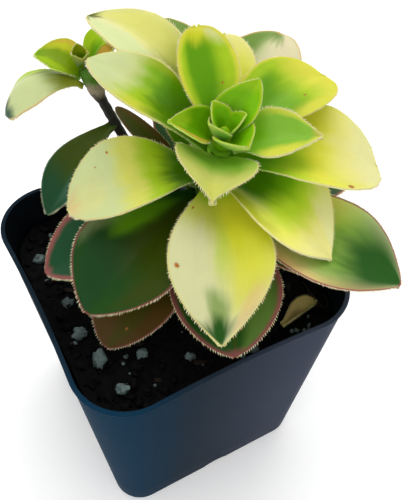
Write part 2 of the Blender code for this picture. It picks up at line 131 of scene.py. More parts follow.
class PlantSettings(bpy.types.PropertyGroup):
    main_stem_radius: length_setting("Main stem", "Radius of the main stem", 3.4)
    side_stem_radius: length_setting("Side stem", "Radius of the side stem", 1.7)
    side_node_radius: length_setting("Side node", "Radius where the side leaves stand", 2.55)
    leaf_thickness: length_setting("Leaf thickness", "Thickest part of the largest leaf", 2.4)
    leaf_edge: length_setting("Leaf edge", "Thickness of a leaf at its margin", 0.5)
    bristle_length: length_setting("Bristle length", "Length of the margin's bristles", 0.95)
    bristle_pitch: length_setting("Bristle pitch", "Distance between two bristles", 0.75)
    ripple: length_setting("Ripple", "Unevenness of the leaf blades", 0.35)
    ivory: paint_setting("Ivory", "Palest part of a leaf", 206, 206, 156)
    cream: paint_setting("Cream", "Pale warm part of a leaf", 210, 205, 128)
    sage: paint_setting("Sage", "Pale cool part of a leaf", 192, 202, 144)
    butter: paint_setting("Butter", "Pale yellow part of a leaf", 208, 205, 66)
    yellow: paint_setting("Yellow", "Strong yellow part of a leaf", 198, 199, 38)
    pear: paint_setting("Pear", "Pale yellow-green near the heart", 188, 192, 96)
    mustard: paint_setting("Mustard", "Shaded yellow near a stem", 150, 158, 6)
    gold: paint_setting("Gold", "Orange-yellow of a margin", 208, 160, 66)
    lime: paint_setting("Lime", "Yellow-green part of a leaf", 162, 194, 28)
    fresh: paint_setting("Fresh green", "Young green of the heart", 120, 182, 12)
    mint: paint_setting("Mint", "Pale clear green", 126, 176, 50)
    green: paint_setting("Green", "Green of an upper leaf", 94, 150, 0)
    deep: paint_setting("Deep green", "Darkest green near the stem", 70, 116, 0)
    moss: paint_setting("Moss", "Muted green of a lower leaf", 112, 144, 62)
    forest: paint_setting("Forest", "Green of a lower leaf", 32, 80, 18)
    teal: paint_setting("Teal", "Blue-green of an old leaf", 24, 72, 40)
    slate: paint_setting("Slate", "Grey-blue green of an old leaf", 84, 116, 98)
    olive: paint_setting("Olive", "Brown-green of a shaded leaf", 60, 76, 0)
    brown: paint_setting("Brown", "Brown of a dying leaf", 84, 62, 22)
    straw: paint_setting("Straw", "Brown of a dry leaf", 184, 164, 104)
    blush: paint_setting("Blush", "Pinkish cream of a sunlit margin", 212, 180, 124)
    shell: paint_setting("Shell", "Pinkish white of a back leaf", 220, 208, 172)
    rose: paint_setting("Rose", "Pinkish brown of an old leaf's margin", 142, 80, 78)
    bark: paint_setting("Bark", "Colour of the stems", 26, 20, 10)
    blemish: paint_setting("Blemish", "Rusty brown of a small blemish", 166, 104, 40)
    node: paint_setting("Node", "Greyish skin of a young stem", 150, 136, 112)
    bristle: paint_setting("Bristle", "Colour of the bristles", 228, 224, 186)


class StageSettings(bpy.types.PropertyGroup):
    floor: color_setting("Floor", "Colour of the floor", (0.98, 0.98, 0.98))
    sky: bpy.props.FloatProperty(
        name="Sky", description="Strength of the light from all round", default=0.8, min=0.0
    )
    key: bpy.props.FloatProperty(
        name="Key light", description="Power of the large soft light", default=2.85, unit="POWER"
    )
    fill: bpy.props.FloatProperty(
        name="Fill light", description="Power of the light from the side", default=0.9, unit="POWER"
    )


# Shapes of the leaves, as in the solids

Leaf = namedtuple(
    "Leaf", "height azimuth length width pitch tip_pitch fold roll sway belly blunt look"
)

# How a leaf is coloured: a base colour, soft patches laid over it in order, a margin and spots.
# s runs from 0 at the stem to 1 at the tip, v from -1 at the right margin to 1 at the left one.
# A patch is (colour, s, v, reach along s, reach along v, strength), a spot (s, v, millimetres).
# The gain makes the whole leaf lighter or darker; a gain above 1 is painted light that lifts a leaf
# lying in shade.
Look = namedtuple("Look", "base patches edge spots gain")


def look(base, *patches, edge=("lime", 0.0), spots=(), gain=1.0):
    return Look(base, patches, edge, spots, gain)


PLAIN_GREEN = look("forest", ("deep", 0.1, 0, 0.35, 3, 1), edge=("rose", 0.9))
HEART_LOOK = look(
    "fresh", ("green", 0.2, 0, 0.4, 0.8, 0.9), ("lime", 1, 0, 0.25, 2, 0.6), edge=("lime", 1),
)

MAIN_LEAVES = (
    Leaf(98.3, 20, 50, 28, 3, -18, 20, 0, 0, 0.58, 0.85, PLAIN_GREEN),
    Leaf(99, 210.5, 47.5, 27, 0, -34, 22, 0, -0.04, 0.58, 0.65, look(
        "brown", ("olive", 0.2, 0, 0.4, 3, 1), ("olive", 0.8, 0.2, 0.4, 0.4, 0.5),
        edge=("rose", 0.6), spots=((0.84, 0.3, 1.3),))),
    Leaf(101.4, 66, 48, 28, 18, -6, 20, 0, 0, 0.58, 0.85, PLAIN_GREEN),
    Leaf(102, 253, 46, 34, 3, -25, 25, -5, 0, 0.6, 0.65, look(
        "forest", ("deep", 0.1, 0, 0.4, 3, 1), ("moss", 0.7, 0.65, 0.4, 0.4, 0.6),
        ("olive", 0.95, 0.1, 0.2, 0.1, 0.8), edge=("rose", 2.2))),
    Leaf(102.3, 352, 50, 28, 10, -18, 20, 0, 0, 0.58, 0.85, PLAIN_GREEN),
    Leaf(104, 176, 49, 29, 0, -28, 22, 0, -0.04, 0.58, 0.75, look(
        "teal", ("deep", 0.1, 0, 0.35, 3, 1), edge=("rose", 2.8))),
    Leaf(105.6, 41, 59.5, 29, 35, 12, 20, 4, -0.08, 0.6, 0.5, look(
        "sage", ("shell", 0.8, -0.5, 0.35, 0.8, 0.9), ("green", 0.1, 0, 0.45, 3, 1),
        ("moss", 0.8, 0.75, 0.35, 0.55, 1), ("moss", 1, 0.15, 0.1, 0.6, 0.9),
        edge=("blush", 0.8))),
    Leaf(107, 107, 37.5, 7.5, 20, 12, 20, 0, 0, 0.55, 0.5, look(
        "brown", ("olive", 0.6, 0.2, 0.5, 1, 0.8), edge=("brown", 0.8))),
    Leaf(106.75, 299, 40, 23.5, 2, -24, 22, 0, 0, 0.58, 0.85, PLAIN_GREEN),
    Leaf(109.5, 76, 56, 26, 41.5, 12, 20, 0, 0, 0.6, 0.75, look(
        "moss", ("green", 0.2, 0, 0.4, 3, 1), edge=("blush", 0.6))),
    Leaf(109.3, 203.8, 48.5, 34.5, 7, -33, 22, 0, -0.07, 0.58, 0.78, look(
        "forest", ("teal", 0.85, -0.45, 0.35, 0.6, 0.4), ("sage", 0.47, -1, 0.22, 0.35, 0.45),
        ("olive", 0.3, 0.2, 0.42, 0.85, 1), ("fresh", 0.33, -0.6, 0.22, 0.35, 0.7),
        ("olive", 0.62, 0.7, 0.3, 0.4, 0.9), edge=("rose", 0.8), gain=0.7)),
    Leaf(109.3, 298.2, 59, 33, 4, -16, 20, 0, 0.1, 0.61, 0.8, look(
        "ivory", ("blush", 0.6, -1.05, 0.7, 0.5, 0.95), ("mustard", 0.42, -0.4, 0.34, 0.4, 0.6),
        ("butter", 0.42, 0.5, 0.3, 0.9, 0.8), ("mint", 0.7, 0.1, 0.22, 1.1, 0.85),
        ("forest", 0.89, 0.1, 0.28, 1.3, 1), edge=("rose", 0.7), gain=1.15)),
    Leaf(112, 139, 27, 16, 20, 4, 20, 0, 0, 0.58, 0.85, look(
        "deep", ("green", 0.8, 0, 0.3, 1, 0.5), edge=("green", 0.6))),
    Leaf(114, 247.8, 49, 30, 11, -36, 22, 0, -0.05, 0.54, 0.95, look(
        "ivory", ("yellow", 0.32, 0.6, 0.55, 0.85, 1), ("butter", 0.66, 0.6, 0.22, 0.5, 0.6),
        ("lime", 0.42, 0.02, 0.3, 0.2, 0.4), ("yellow", 0.1, 0.1, 0.26, 3, 0.8),
        ("lime", 0, 0, 0.14, 3, 0.9), ("blush", 0.82, 0.8, 0.16, 0.3, 0.6),
        ("moss", 0.83, -0.1, 0.14, 0.4, 0.8), ("forest", 0.95, -0.25, 0.12, 1, 1),
        edge=("cream", 0.5), spots=((0.2, -0.82, 1.3), (0.57, -0.84, 1.7)))),
    Leaf(113.2, 61, 43, 24, 45, 24, 20, 0, -0.1, 0.6, 0.5, look(
        "cream", ("yellow", 0.6, -0.3, 0.35, 1.2, 0.8), ("lime", 0.2, 0, 0.35, 3, 1),
        edge=("cream", 0.5), gain=1.25)),
    Leaf(117, 166.5, 41.5, 28.5, 24, -40, 22, -3, 0.01, 0.56, 0.75, look(
        "sage", ("butter", 0.44, 0, 0.17, 3, 0.75), ("lime", 0.29, 0.1, 0.15, 3, 1),
        ("deep", 0.08, -0.1, 0.22, 3, 1), ("cream", 0.85, 0.2, 0.25, 0.8, 0.5),
        ("blush", 1, 0, 0.14, 1.5, 0.6),
        edge=("cream", 0.5), spots=((0.6, -0.75, 0.7), (0.7, -0.6, 0.5)))),
    Leaf(116.5, 304.3, 39.5, 31.5, 16, -36, 22, 0, -0.19, 0.54, 1, look(
        "cream", ("butter", 0.56, -0.2, 0.24, 1.3, 0.7), ("lime", 0.5, 0.2, 0.25, 1, 0.85),
        ("green", 0.4, 0.5, 0.2, 0.5, 0.8), ("deep", 0.22, 0.15, 0.27, 0.9, 1),
        ("mustard", 0.28, -0.95, 0.3, 0.45, 0.9), ("ivory", 0.85, 0.75, 0.25, 0.4, 0.6),
        edge=("cream", 0.6), gain=1.3)),
    Leaf(118.9, 80, 58, 18.5, 61, -15, 26, -19, 0.4, 0.66, 0.75, look(
        "ivory", ("butter", 0.7, -0.5, 0.4, 0.8, 0.6), ("sage", 0.75, 0.6, 0.3, 0.5, 0.9),
        ("mustard", 0.38, -0.2, 0.24, 3, 0.7), ("green", 0.1, 0, 0.3, 3, 1),
        ("olive", 1, -0.3, 0.06, 2, 0.9), edge=("cream", 0.5), gain=1.12)),
    Leaf(122.3, 334.5, 43, 35.5, 14, -18, 20, 0, -0.04, 0.65, 0.42, look(
        "butter", ("cream", 0.98, 0, 0.38, 2, 1), ("ivory", 1, 0.2, 0.2, 2, 0.5),
        ("yellow", 0.5, 0.15, 0.2, 1, 0.8), ("lime", 0.36, -0.1, 0.18, 1.6, 0.9),
        ("fresh", 0.12, -0.2, 0.26, 3, 1),
        edge=("cream", 0.5), spots=((0.71, -0.93, 2),), gain=1.1)),
    Leaf(125.2, 122.3, 42.5, 21.5, 39, 6, 22, 1, 0.02, 0.6, 0.75, look(
        "green", ("lime", 0.55, 0.4, 0.28, 0.55, 0.8), ("butter", 0.62, 0.9, 0.35, 0.45, 0.8),
        ("mustard", 0.62, -1, 0.28, 0.3, 0.7), ("lime", 0.66, -0.1, 0.2, 1.1, 0.5),
        ("deep", 0.27, 0.1, 0.26, 1.3, 0.85), ("cream", 0.82, -0.2, 0.2, 1.4, 0.8),
        ("sage", 0.93, 0.1, 0.32, 2, 1), edge=("cream", 0.8))),
    Leaf(125.7, 16, 37.6, 25, 25, -2, 22, 4, -0.08, 0.65, 0.38, look(
        "green", ("mint", 0.5, -0.2, 0.25, 0.4, 0.6), ("lime", 0.6, 1, 0.5, 0.4, 0.9),
        ("lime", 0.88, -0.1, 0.3, 1.6, 0.9), ("butter", 0.65, -1, 0.34, 0.5, 0.9),
        ("butter", 1.04, 0.2, 0.32, 3, 1), edge=("butter", 0.9), spots=((0.7, -0.35, 1.1),))),
    Leaf(128.6, 78, 30.7, 18, 52, 30, 26, 0, 0, 0.57, 0.44, look(
        "green", ("lime", 0.6, -0.95, 0.75, 0.75, 1), ("lime", 0.6, 1, 0.7, 0.4, 1),
        ("yellow", 1.02, 0, 0.2, 3, 1), ("ivory", 0.98, -0.8, 0.2, 0.6, 0.7),
        edge=("butter", 1.8), spots=((0.45, -0.45, 0.8),))),
    Leaf(126.7, 229, 18.2, 24, 27, -24, 22, -6, 0.12, 0.33, 1.6, look(
        "pear", ("mint", 0.16, 0.1, 0.36, 1.6, 1), ("green", 0.1, 0.5, 0.2, 0.6, 0.6),
        ("butter", 0.8, 0.1, 0.2, 0.7, 0.3), edge=("cream", 0.6))),
    Leaf(128, 328, 24.5, 18.5, 25, 0, 26, 9, 0.03, 0.42, 1.1, look(
        "mint", ("butter", 0.56, -0.75, 0.36, 0.42, 0.9), ("butter", 0.6, 1, 0.4, 0.28, 0.7),
        ("fresh", 0.12, 0.2, 0.3, 1.5, 0.9), ("gold", 1.02, 0, 0.14, 3, 0.6),
        ("butter", 0.94, -0.9, 0.14, 0.8, 0.8), edge=("cream", 0.7))),
    Leaf(130.6, 150, 14, 15, 42, 34, 30, -5, 0.25, 0.3, 1, look(
        "green", ("lime", 0.8, -0.3, 0.3, 0.8, 0.6), ("gold", 0.6, 0.85, 0.6, 0.35, 0.8),
        edge=("lime", 0.9))),
)
SIDE_LEAVES = (
    Leaf(107, 203, 37, 16, -4, -50, 20, 0, 0, 0.58, 0.85, look(
        "teal", ("olive", 0.25, 0, 0.45, 3, 1), ("slate", 0.6, 0.5, 0.3, 0.4, 0.35),
        edge=("slate", 0.5))),
    Leaf(118, 350, 6.5, 9.5, 72, 50, -20, 0, 0, 0.45, 0.6, look(
        "moss", ("node", 0.3, 0, 0.6, 2, 0.8), edge=("node", 0.4))),
    Leaf(120.6, 166, 33.5, 18.5, 46, -82, -24, 0, 0.02, 0.62, 0.5, look(
        "sage", ("lime", 0.35, -0.85, 0.6, 0.5, 1), ("mustard", 0.25, -0.4, 0.35, 0.25, 0.8),
        ("mustard", 0.08, 0, 0.28, 3, 0.9), ("teal", 1, 0.3, 0.2, 1.6, 1), edge=("blush", 0.6))),
    Leaf(123.5, 46, 14.5, 7.8, 44, 32, 30, 0, -0.12, 0.58, 0.75, look(
        "lime", ("green", 0.3, -0.3, 0.4, 0.8, 0.9), edge=("lime", 0.8))),
    Leaf(121.9, 141, 15.5, 17.5, 46, 4, 30, 0, 0.04, 0.42, 0.8, look(
        "green", ("mustard", 0.5, 0, 0.6, 1.6, 0.45), ("lime", 0.7, 0.5, 0.4, 0.5, 0.7),
        ("yellow", 0.5, -0.8, 0.5, 0.35, 0.8), ("gold", 0.5, -1.05, 0.42, 0.25, 0.9),
        edge=("lime", 0.6))),
    Leaf(122.1, 354, 11, 7.5, 58, 34, 55, 0, 0.22, 0.55, 0.6, look(
        "mustard", ("gold", 0.6, 0.5, 0.5, 0.7, 0.8), ("brown", 1, 0, 0.3, 2, 0.6),
        edge=("mustard", 0.6))),
)
MAIN_HEART = (
    Leaf(130, 31, 18, 14, 50, 56, 35, 0, -0.2, 0.45, 0.8, HEART_LOOK),
    Leaf(130.2, 274, 11.5, 15, 24, 40, 45, 0, 0, 0.5, 0.8, HEART_LOOK),
    Leaf(131.6, 112, 10, 9, 66, 74, 40, 0, 0, 0.5, 0.8, HEART_LOOK),
    Leaf(131.6, 338, 8.5, 8, 58, 66, 40, 0, 0, 0.5, 0.8, HEART_LOOK),
    Leaf(130.4, 190, 9, 9.5, 58, 70, 40, 0, 0, 0.5, 0.8, HEART_LOOK),
)
SIDE_HEART_LOOK = look(
    "deep", ("mustard", 0.8, 0, 0.5, 1.5, 0.7), edge=("mustard", 0.6),
)
SIDE_HEART = [
    Leaf(126, azimuth, length, width, 66, tip_pitch, 40, 0, 0, 0.5, 0.8, SIDE_HEART_LOOK)
    for azimuth, length, width, tip_pitch in (
        (80, 5.5, 5.5, 74), (200, 5, 5.5, 76), (320, 4.5, 5, 78),
    )
]
FALLEN_LEAF = Leaf(0, 2, 14.5, 9, 14, -14, 62, -14, 0.2, 0.5, 0.7, look(
    "straw", ("brown", 0.3, 0, 0.3, 0.6, 0.5), edge=("brown", 0.4)))
FALLEN_LEAF_START = Vector((22.0, -33.5, 79.9)) * MM

MAIN_LOW = Vector((12.0, 4.5, 98.0)) * MM
MAIN_HIGH = Vector((18.4, 0.6, 138.0)) * MM
MAIN_STEM_FOOT = Vector((7.0, 5.5, 69.0)) * MM
MAIN_STEM_BENDS = (84.0, 96.0, 104.0, 112.0, 120.0, 126.8)
SIDE_LOW = Vector((4.0, 44.0, 103.0)) * MM
SIDE_HIGH = Vector((-2.6, 55.0, 124.0)) * MM
SIDE_STEM_FOOT = Vector((10.0, 29.0, 69.0)) * MM
SIDE_STEM_MIDDLE = Vector((7.5, 37.0, 92.0)) * MM
SIDE_STEM_BENDS = (103.0, 110.0, 114.5, 117.2, 122.0, 124.5)
SIDE_STEM_SWELL = (1.0, 1.0, 1.0, 1.0, 1.0, 1.0, 1.5, 1.45, 1.1)
SIDE_NODE_FROM = 115.0
STEM_UPRIGHT = 14.4 * MM

# How the leaves meet the stems, and how a blade is formed
SEAT_GAP = 0.5 * MM
HEART_SEAT = 1.2 * MM
ROOT_SHARE = 0.22
TIP_HALF = 0.35 * MM
THICK_SHARE = 0.11
THIN_TO_TIP = 0.45
FOLD_ROUND = 0.2
BELLY_POWER = 1.35
ROLL_BY = 0.35
FOLD_LOST = 0.35
RIM_POWER = 2.2
# A blade's cells along it and across it
LARGE_GRID = (72, 28)
SMALL_GRID = (48, 20)
HEART_GRID = (36, 18)
FALLEN_GRID = (40, 20)
BLADE_FROM = -0.03
BRISTLE_FROM = 0.12
BRISTLE_TO = 0.995
BRISTLE_STEPS = 240
MAIN_BUD_RADIUS = 3.2 * MM
SIDE_BUD_RADIUS = 1.5 * MM

# The larger pale grains: x, y and radius in millimetres
GRAINS = (
    (-34.0, 5.0, 2.4),
    (-35.0, -7.5, 3.0),
    (-33.0, -18.5, 3.6),
    (-31.0, -30.0, 2.8),
    (-21.0, -22.5, 2.2),
    (-9.0, -30.0, 2.2),
    (10.0, -36.0, 2.0),
    (33.0, 12.0, 2.6),
    (22.0, 33.0, 2.8),
    (-16.0, 35.0, 2.4),
    (-36.0, 26.0, 2.2),
    (35.0, -9.0, 2.0),
)
FIBRE_ROUTE = ((37.0, -22.5), (36.6, -29.0), (38.6, -33.6), (40.2, -30.0))


# Small helpers


def deselect_all():
    if bpy.context.mode != "OBJECT":
        bpy.ops.object.mode_set(mode="OBJECT")
    bpy.ops.object.select_all(action="DESELECT")


def make_active(obj):
    deselect_all()
    obj.select_set(True)
    bpy.context.view_layer.objects.active = obj


def apply_modifier(obj, kind, **values):
    make_active(obj)
    modifier = obj.modifiers.new(kind.title(), kind)
    for key, value in values.items():
        setattr(modifier, key, value)
    bpy.ops.object.modifier_apply(modifier=modifier.name)


def apply_place(obj):
    make_active(obj)
    bpy.ops.object.transform_apply(location=True, rotation=True, scale=True)


def new_object(name, data):
    obj = bpy.data.objects.new(name, data)
    bpy.context.scene.collection.objects.link(obj)
    return obj


def new_tube(name, radius, roundness, route, swell, smoothness=12):
    """A bevelled curve through the route's points, closed at both ends, made a mesh."""
    curve = bpy.data.curves.new(name, "CURVE")
    curve.dimensions = "3D"
    curve.bevel_depth = radius
    curve.bevel_resolution = roundness
    curve.use_fill_caps = True
    curve.resolution_u = smoothness
    spline = curve.splines.new("BEZIER")
    spline.bezier_points.add(len(route) - 1)
    for point, place, share in zip(spline.bezier_points, route, swell):
        point.co = place
        point.radius = share
        point.handle_left_type = "AUTO"
        point.handle_right_type = "AUTO"
    make_active(new_object(name, curve))
    bpy.ops.object.convert(target="MESH")
    return bpy.context.active_object


def mesh_object(name, bm):
    mesh = bpy.data.meshes.new(name)
    bm.to_mesh(mesh)
    bm.free()
    return new_object(name, mesh)


def edit_all(obj):
    make_active(obj)
    bpy.ops.object.mode_set(mode="EDIT")
    bpy.ops.mesh.select_all(action="SELECT")


def turn_faces_out():
    """From edit mode: every face made to point outwards, then back to object mode."""
    bpy.ops.mesh.select_all(action="SELECT")
    bpy.ops.mesh.normals_make_consistent(inside=False)
    bpy.ops.object.mode_set(mode="OBJECT")


def join_objects(name, objects):
    deselect_all()
    for obj in objects:
        obj.select_set(True)
    bpy.context.view_layer.objects.active = objects[0]
    bpy.ops.object.join()
    joined = bpy.context.active_object
    joined.name = name
    joined.data.name = name
    return joined


def settle(obj, name, nodes=()):
    """The last step for every piece: its name, its body and what it stands for."""
    obj.name = name
    obj.data.name = name
    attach(obj, BODY)
    if nodes:
        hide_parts(*nodes)
    return obj


# Shader nodes


class Wires:
    """Adds nodes to a tree and joins them, so that each step of a material is one line."""

    def __init__(self, tree):
        self.tree = tree

    def node(self, kind, **values):
        made = self.tree.nodes.new(kind)
        for key, value in values.items():
            setattr(made, key, value)
        return made

    def plug(self, socket, value):
        if isinstance(value, bpy.types.NodeSocket):
            self.tree.links.new(value, socket)
        else:
            socket.default_value = value

    def math(self, operation, *inputs):
        made = self.node("ShaderNodeMath", operation=operation)
        for socket, value in zip(made.inputs, inputs):
            self.plug(socket, value)
        return made.outputs[0]

    def plus(self, first, second):
        return self.math("ADD", first, second)

    def minus(self, first, second):
        return self.math("SUBTRACT", first, second)

    def times(self, first, second):
        return self.math("MULTIPLY", first, second)

    def over(self, part, whole):
        return self.math("DIVIDE", part, whole)

    def scaled(self, value, factor, extra):
        """The value times the factor, and the extra on top."""
        return self.math("MULTIPLY_ADD", value, factor, extra)

    def distance(self, x, y):
        return self.math("SQRT", self.scaled(x, x, self.times(y, y)))

    def shade(self, color, light):
        """The colour made lighter or darker by a number."""
        return self.mix(1.0, color, self.vector(light, light, light), "MULTIPLY")

    def step(self, value, low, high):
        """0 below low, 1 above high, with a soft way between."""
        made = self.node("ShaderNodeMapRange", interpolation_type="SMOOTHSTEP", clamp=True)
        self.plug(made.inputs["Value"], value)
        self.plug(made.inputs["From Min"], low)
        self.plug(made.inputs["From Max"], high)
        return made.outputs["Result"]

    def mix(self, share, first, second, blend="MIX"):
        made = self.node("ShaderNodeMix", data_type="RGBA", blend_type=blend)
        self.plug(made.inputs[0], share)
        self.plug(made.inputs[6], first)
        self.plug(made.inputs[7], second)
        return made.outputs[2]

    def vector(self, x, y, z):
        made = self.node("ShaderNodeCombineXYZ")
        for socket, value in zip(made.inputs, (x, y, z)):
            self.plug(socket, value)
        return made.outputs[0]

    def parts(self, vector):
        made = self.node("ShaderNodeSeparateXYZ")
        self.plug(made.inputs[0], vector)
        return made.outputs

    def leaf_place(self, leaf_map):
        """s and v at a point of the leaf, whose map's y runs from 0 to 1."""
        s, y, _ = self.parts(leaf_map)
        return s, self.scaled(y, 2.0, -1.0)

    def noise(self, vector, scale, detail=3.0, roughness=0.55):
        """Noise that runs from about -0.5 to 0.5."""
        made = self.node("ShaderNodeTexNoise")
        self.plug(made.inputs["Vector"], vector)
        self.plug(made.inputs["Scale"], scale)
        self.plug(made.inputs["Detail"], detail)
        self.plug(made.inputs["Roughness"], roughness)
        return self.minus(made.outputs[0], 0.5)

    def leaf_noise(self, along, across, seed, stretch, scale, detail, roughness=0.55):
        """Noise on the leaf's map, stretched along it and across it."""
        place = self.vector(self.times(along, stretch[0]), self.times(across, stretch[1]), seed)
        return self.noise(place, scale, detail, roughness)

    def group(self, tree, **values):
        made = self.node("ShaderNodeGroup", node_tree=tree)
        for key, value in values.items():
            self.plug(made.inputs[key.replace("_", " ")], value)
        return made.outputs


def new_group(name, inputs, outputs):
    """A node group whose sockets are given as text, a name and a kind each."""
    tree = bpy.data.node_groups.new(name, "ShaderNodeTree")
    for side, sockets in (("INPUT", inputs), ("OUTPUT", outputs)):
        for socket in sockets.split(", "):
            key, kind = socket.rsplit(" ", 1)
            tree.interface.new_socket(name=key, in_out=side, socket_type="NodeSocket" + kind)
    wires = Wires(tree)
    start = wires.node("NodeGroupInput")
    end = wires.node("NodeGroupOutput")
    return tree, wires, start.outputs, end.inputs


def stored_group(name, build):
    return bpy.data.node_groups.get(name) or build(name)


def drift_group(name):
    """The leaf's map pushed about by noise stretched along the leaf, so that colours run."""
    inputs = "Map Vector, Seed Float"
    tree, wires, given, made = new_group(name, inputs, "Map Vector")
    s, v = wires.leaf_place(given["Map"])
    streaks = wires.leaf_noise(s, v, given["Seed"], (1.5, 5.0), 1.0, 3.0, 0.5)
    blotches = wires.leaf_noise(s, v, given["Seed"], (3.0, 2.0), 1.2, 2.0)
    along = wires.scaled(blotches, 0.16, s)
    along = wires.scaled(streaks, 0.07, along)
    across = wires.scaled(blotches, 0.3, v)
    wires.plug(made["Map"], wires.vector(along, across, 0.0))
    return tree


def patch_group(name):
    """A soft oval patch on the drifted map."""
    inputs = "Map Vector, S Float, V Float, Reach S Float, Reach V Float, Strength Float"
    tree, wires, given, made = new_group(name, inputs, "Mask Float")
    s, v, _ = wires.parts(given["Map"])
    away_s = wires.over(wires.minus(s, given["S"]), given["Reach S"])
    away_v = wires.over(wires.minus(v, given["V"]), given["Reach V"])
    away = wires.distance(away_s, away_v)
    mask = wires.minus(1.0, wires.step(away, 0.35, 1.2))
    wires.plug(made["Mask"], wires.times(mask, given["Strength"]))
    return tree


def margin_group(name):
    """The coloured margin, fine fibres along the leaf and the paler underside."""
    inputs = "Color Color, Map Vector, Seed Float, Rim Float, Under Float, "
    inputs += "Edge Color, Edge Width Float, Pale Color"
    tree, wires, given, made = new_group(name, inputs, "Color Color")
    s, y, _ = wires.parts(given["Map"])
    blotches = wires.leaf_noise(s, y, given["Seed"], (9.0, 5.0), 1.0, 2.0)
    fibres = wires.leaf_noise(s, y, given["Seed"], (5.0, 70.0), 1.0, 2.0)
    rim = wires.times(given["Rim"], wires.scaled(blotches, 0.9, 1.0))
    inner = wires.step(rim, wires.times(given["Edge Width"], 0.1), given["Edge Width"])
    edge = wires.minus(1.0, inner)
    edge = wires.times(edge, wires.step(s, 0.12, 0.5))
    color = wires.mix(edge, given["Color"], given["Edge"])
    light = wires.scaled(fibres, 0.07, 1.0)
    light = wires.scaled(blotches, 0.12, light)
    color = wires.shade(color, light)
    color = wires.mix(wires.times(given["Under"], 0.3), color, given["Pale"])
    wires.plug(made["Color"], color)
    return tree


def leaf_skin_group(name):
    """Relief and gloss of a leaf: faint veins along it, a midrib and a fine papery grain."""
    inputs = "Map Vector, Place Vector, Midrib Float"
    tree, wires, given, made = new_group(name, inputs, "Height Float, Gloss Float")
    s, v = wires.leaf_place(given["Map"])
    grain = wires.noise(given["Place"], 1500.0, 3.0, 0.6)
    dents = wires.noise(given["Place"], 260.0, 2.0)
    spread = wires.over(v, wires.plus(s, 0.35))
    veins = wires.math("SINE", wires.scaled(dents, 4.0, wires.times(spread, 17.0)))
    groove = wires.times(wires.step(wires.math("ABSOLUTE", v), 0.0, 0.07), given["Midrib"])
    height = wires.scaled(grain, 0.45, groove)
    height = wires.scaled(veins, 0.10, height)
    height = wires.scaled(dents, 0.9, height)
    wires.plug(made["Height"], height)
    wires.plug(made["Gloss"], wires.scaled(wires.noise(given["Place"], 420.0), 0.22, 0.4))
    return tree


def spot_group(name):
    """A small ragged blemish at one place of a leaf."""
    inputs = "Map Vector, Place Vector, S Float, V Float, "
    inputs += "Length Float, Half Width Float, Size Float"
    tree, wires, given, made = new_group(name, inputs, "Mask Float")
    s, v = wires.leaf_place(given["Map"])
    away_s = wires.times(wires.minus(s, given["S"]), given["Length"])
    away_v = wires.times(wires.minus(v, given["V"]), given["Half Width"])
    away = wires.distance(away_s, away_v)
    away = wires.scaled(wires.noise(given["Place"], 1800.0), 1.1, away)
    size = given["Size"]
    mask = wires.step(away, wires.times(size, 0.2), wires.times(size, 0.6))
    wires.plug(made["Mask"], wires.minus(1.0, mask))
    return tree


def mottle_group(name):
    """Two colours mixed by noise at a size, with the noise itself for relief and gloss."""
    inputs = "Place Vector, Dark Color, Light Color, Scale Float, Balance Float"
    tree, wires, given, made = new_group(name, inputs, "Color Color, Height Float")
    coarse = wires.noise(given["Place"], given["Scale"], 5.0, 0.65)
    fine = wires.noise(given["Place"], wires.times(given["Scale"], 6.0), 3.0, 0.6)
    height = wires.scaled(fine, 0.4, coarse)
    share = wires.step(wires.plus(height, given["Balance"]), -0.15, 0.3)
    wires.plug(made["Color"], wires.mix(share, given["Dark"], given["Light"]))
    wires.plug(made["Height"], height)
    return tree


def mottled(wires, place, dark, light, scale, balance):
    """The mottle's outputs with its values set."""
    values = {"Dark": (*dark, 1.0), "Light": (*light, 1.0), "Scale": scale, "Balance": balance}
    return wires.group(stored_group("Mottle", mottle_group), Place=place, **values)


def times_each(factor, color):
    return [factor * value for value in color]


def new_material(name):
    material = bpy.data.materials.new(name)
    material.use_nodes = True
    wires = Wires(material.node_tree)
    shader = material.node_tree.nodes["Principled BSDF"]
    place = wires.node("ShaderNodeTexCoord").outputs["Object"]
    return material, wires, shader, place


def set_values(shader, **values):
    """Values that are the same all over, on the shader's own sockets."""
    for key, value in values.items():
        shader.inputs[key.replace("_", " ")].default_value = value


def paint_shader(wires, shader, color, roughness=None):
    wires.plug(shader.inputs["Base Color"], color)
    if roughness:
        wires.plug(shader.inputs["Roughness"], roughness)


def give_bump(wires, shader, height, strength, distance):
    bump = wires.node("ShaderNodeBump")
    wires.plug(bump.inputs["Height"], height)
    bump.inputs["Strength"].default_value = strength
    bump.inputs["Distance"].default_value = distance
    wires.plug(shader.inputs["Normal"], bump.outputs["Normal"])


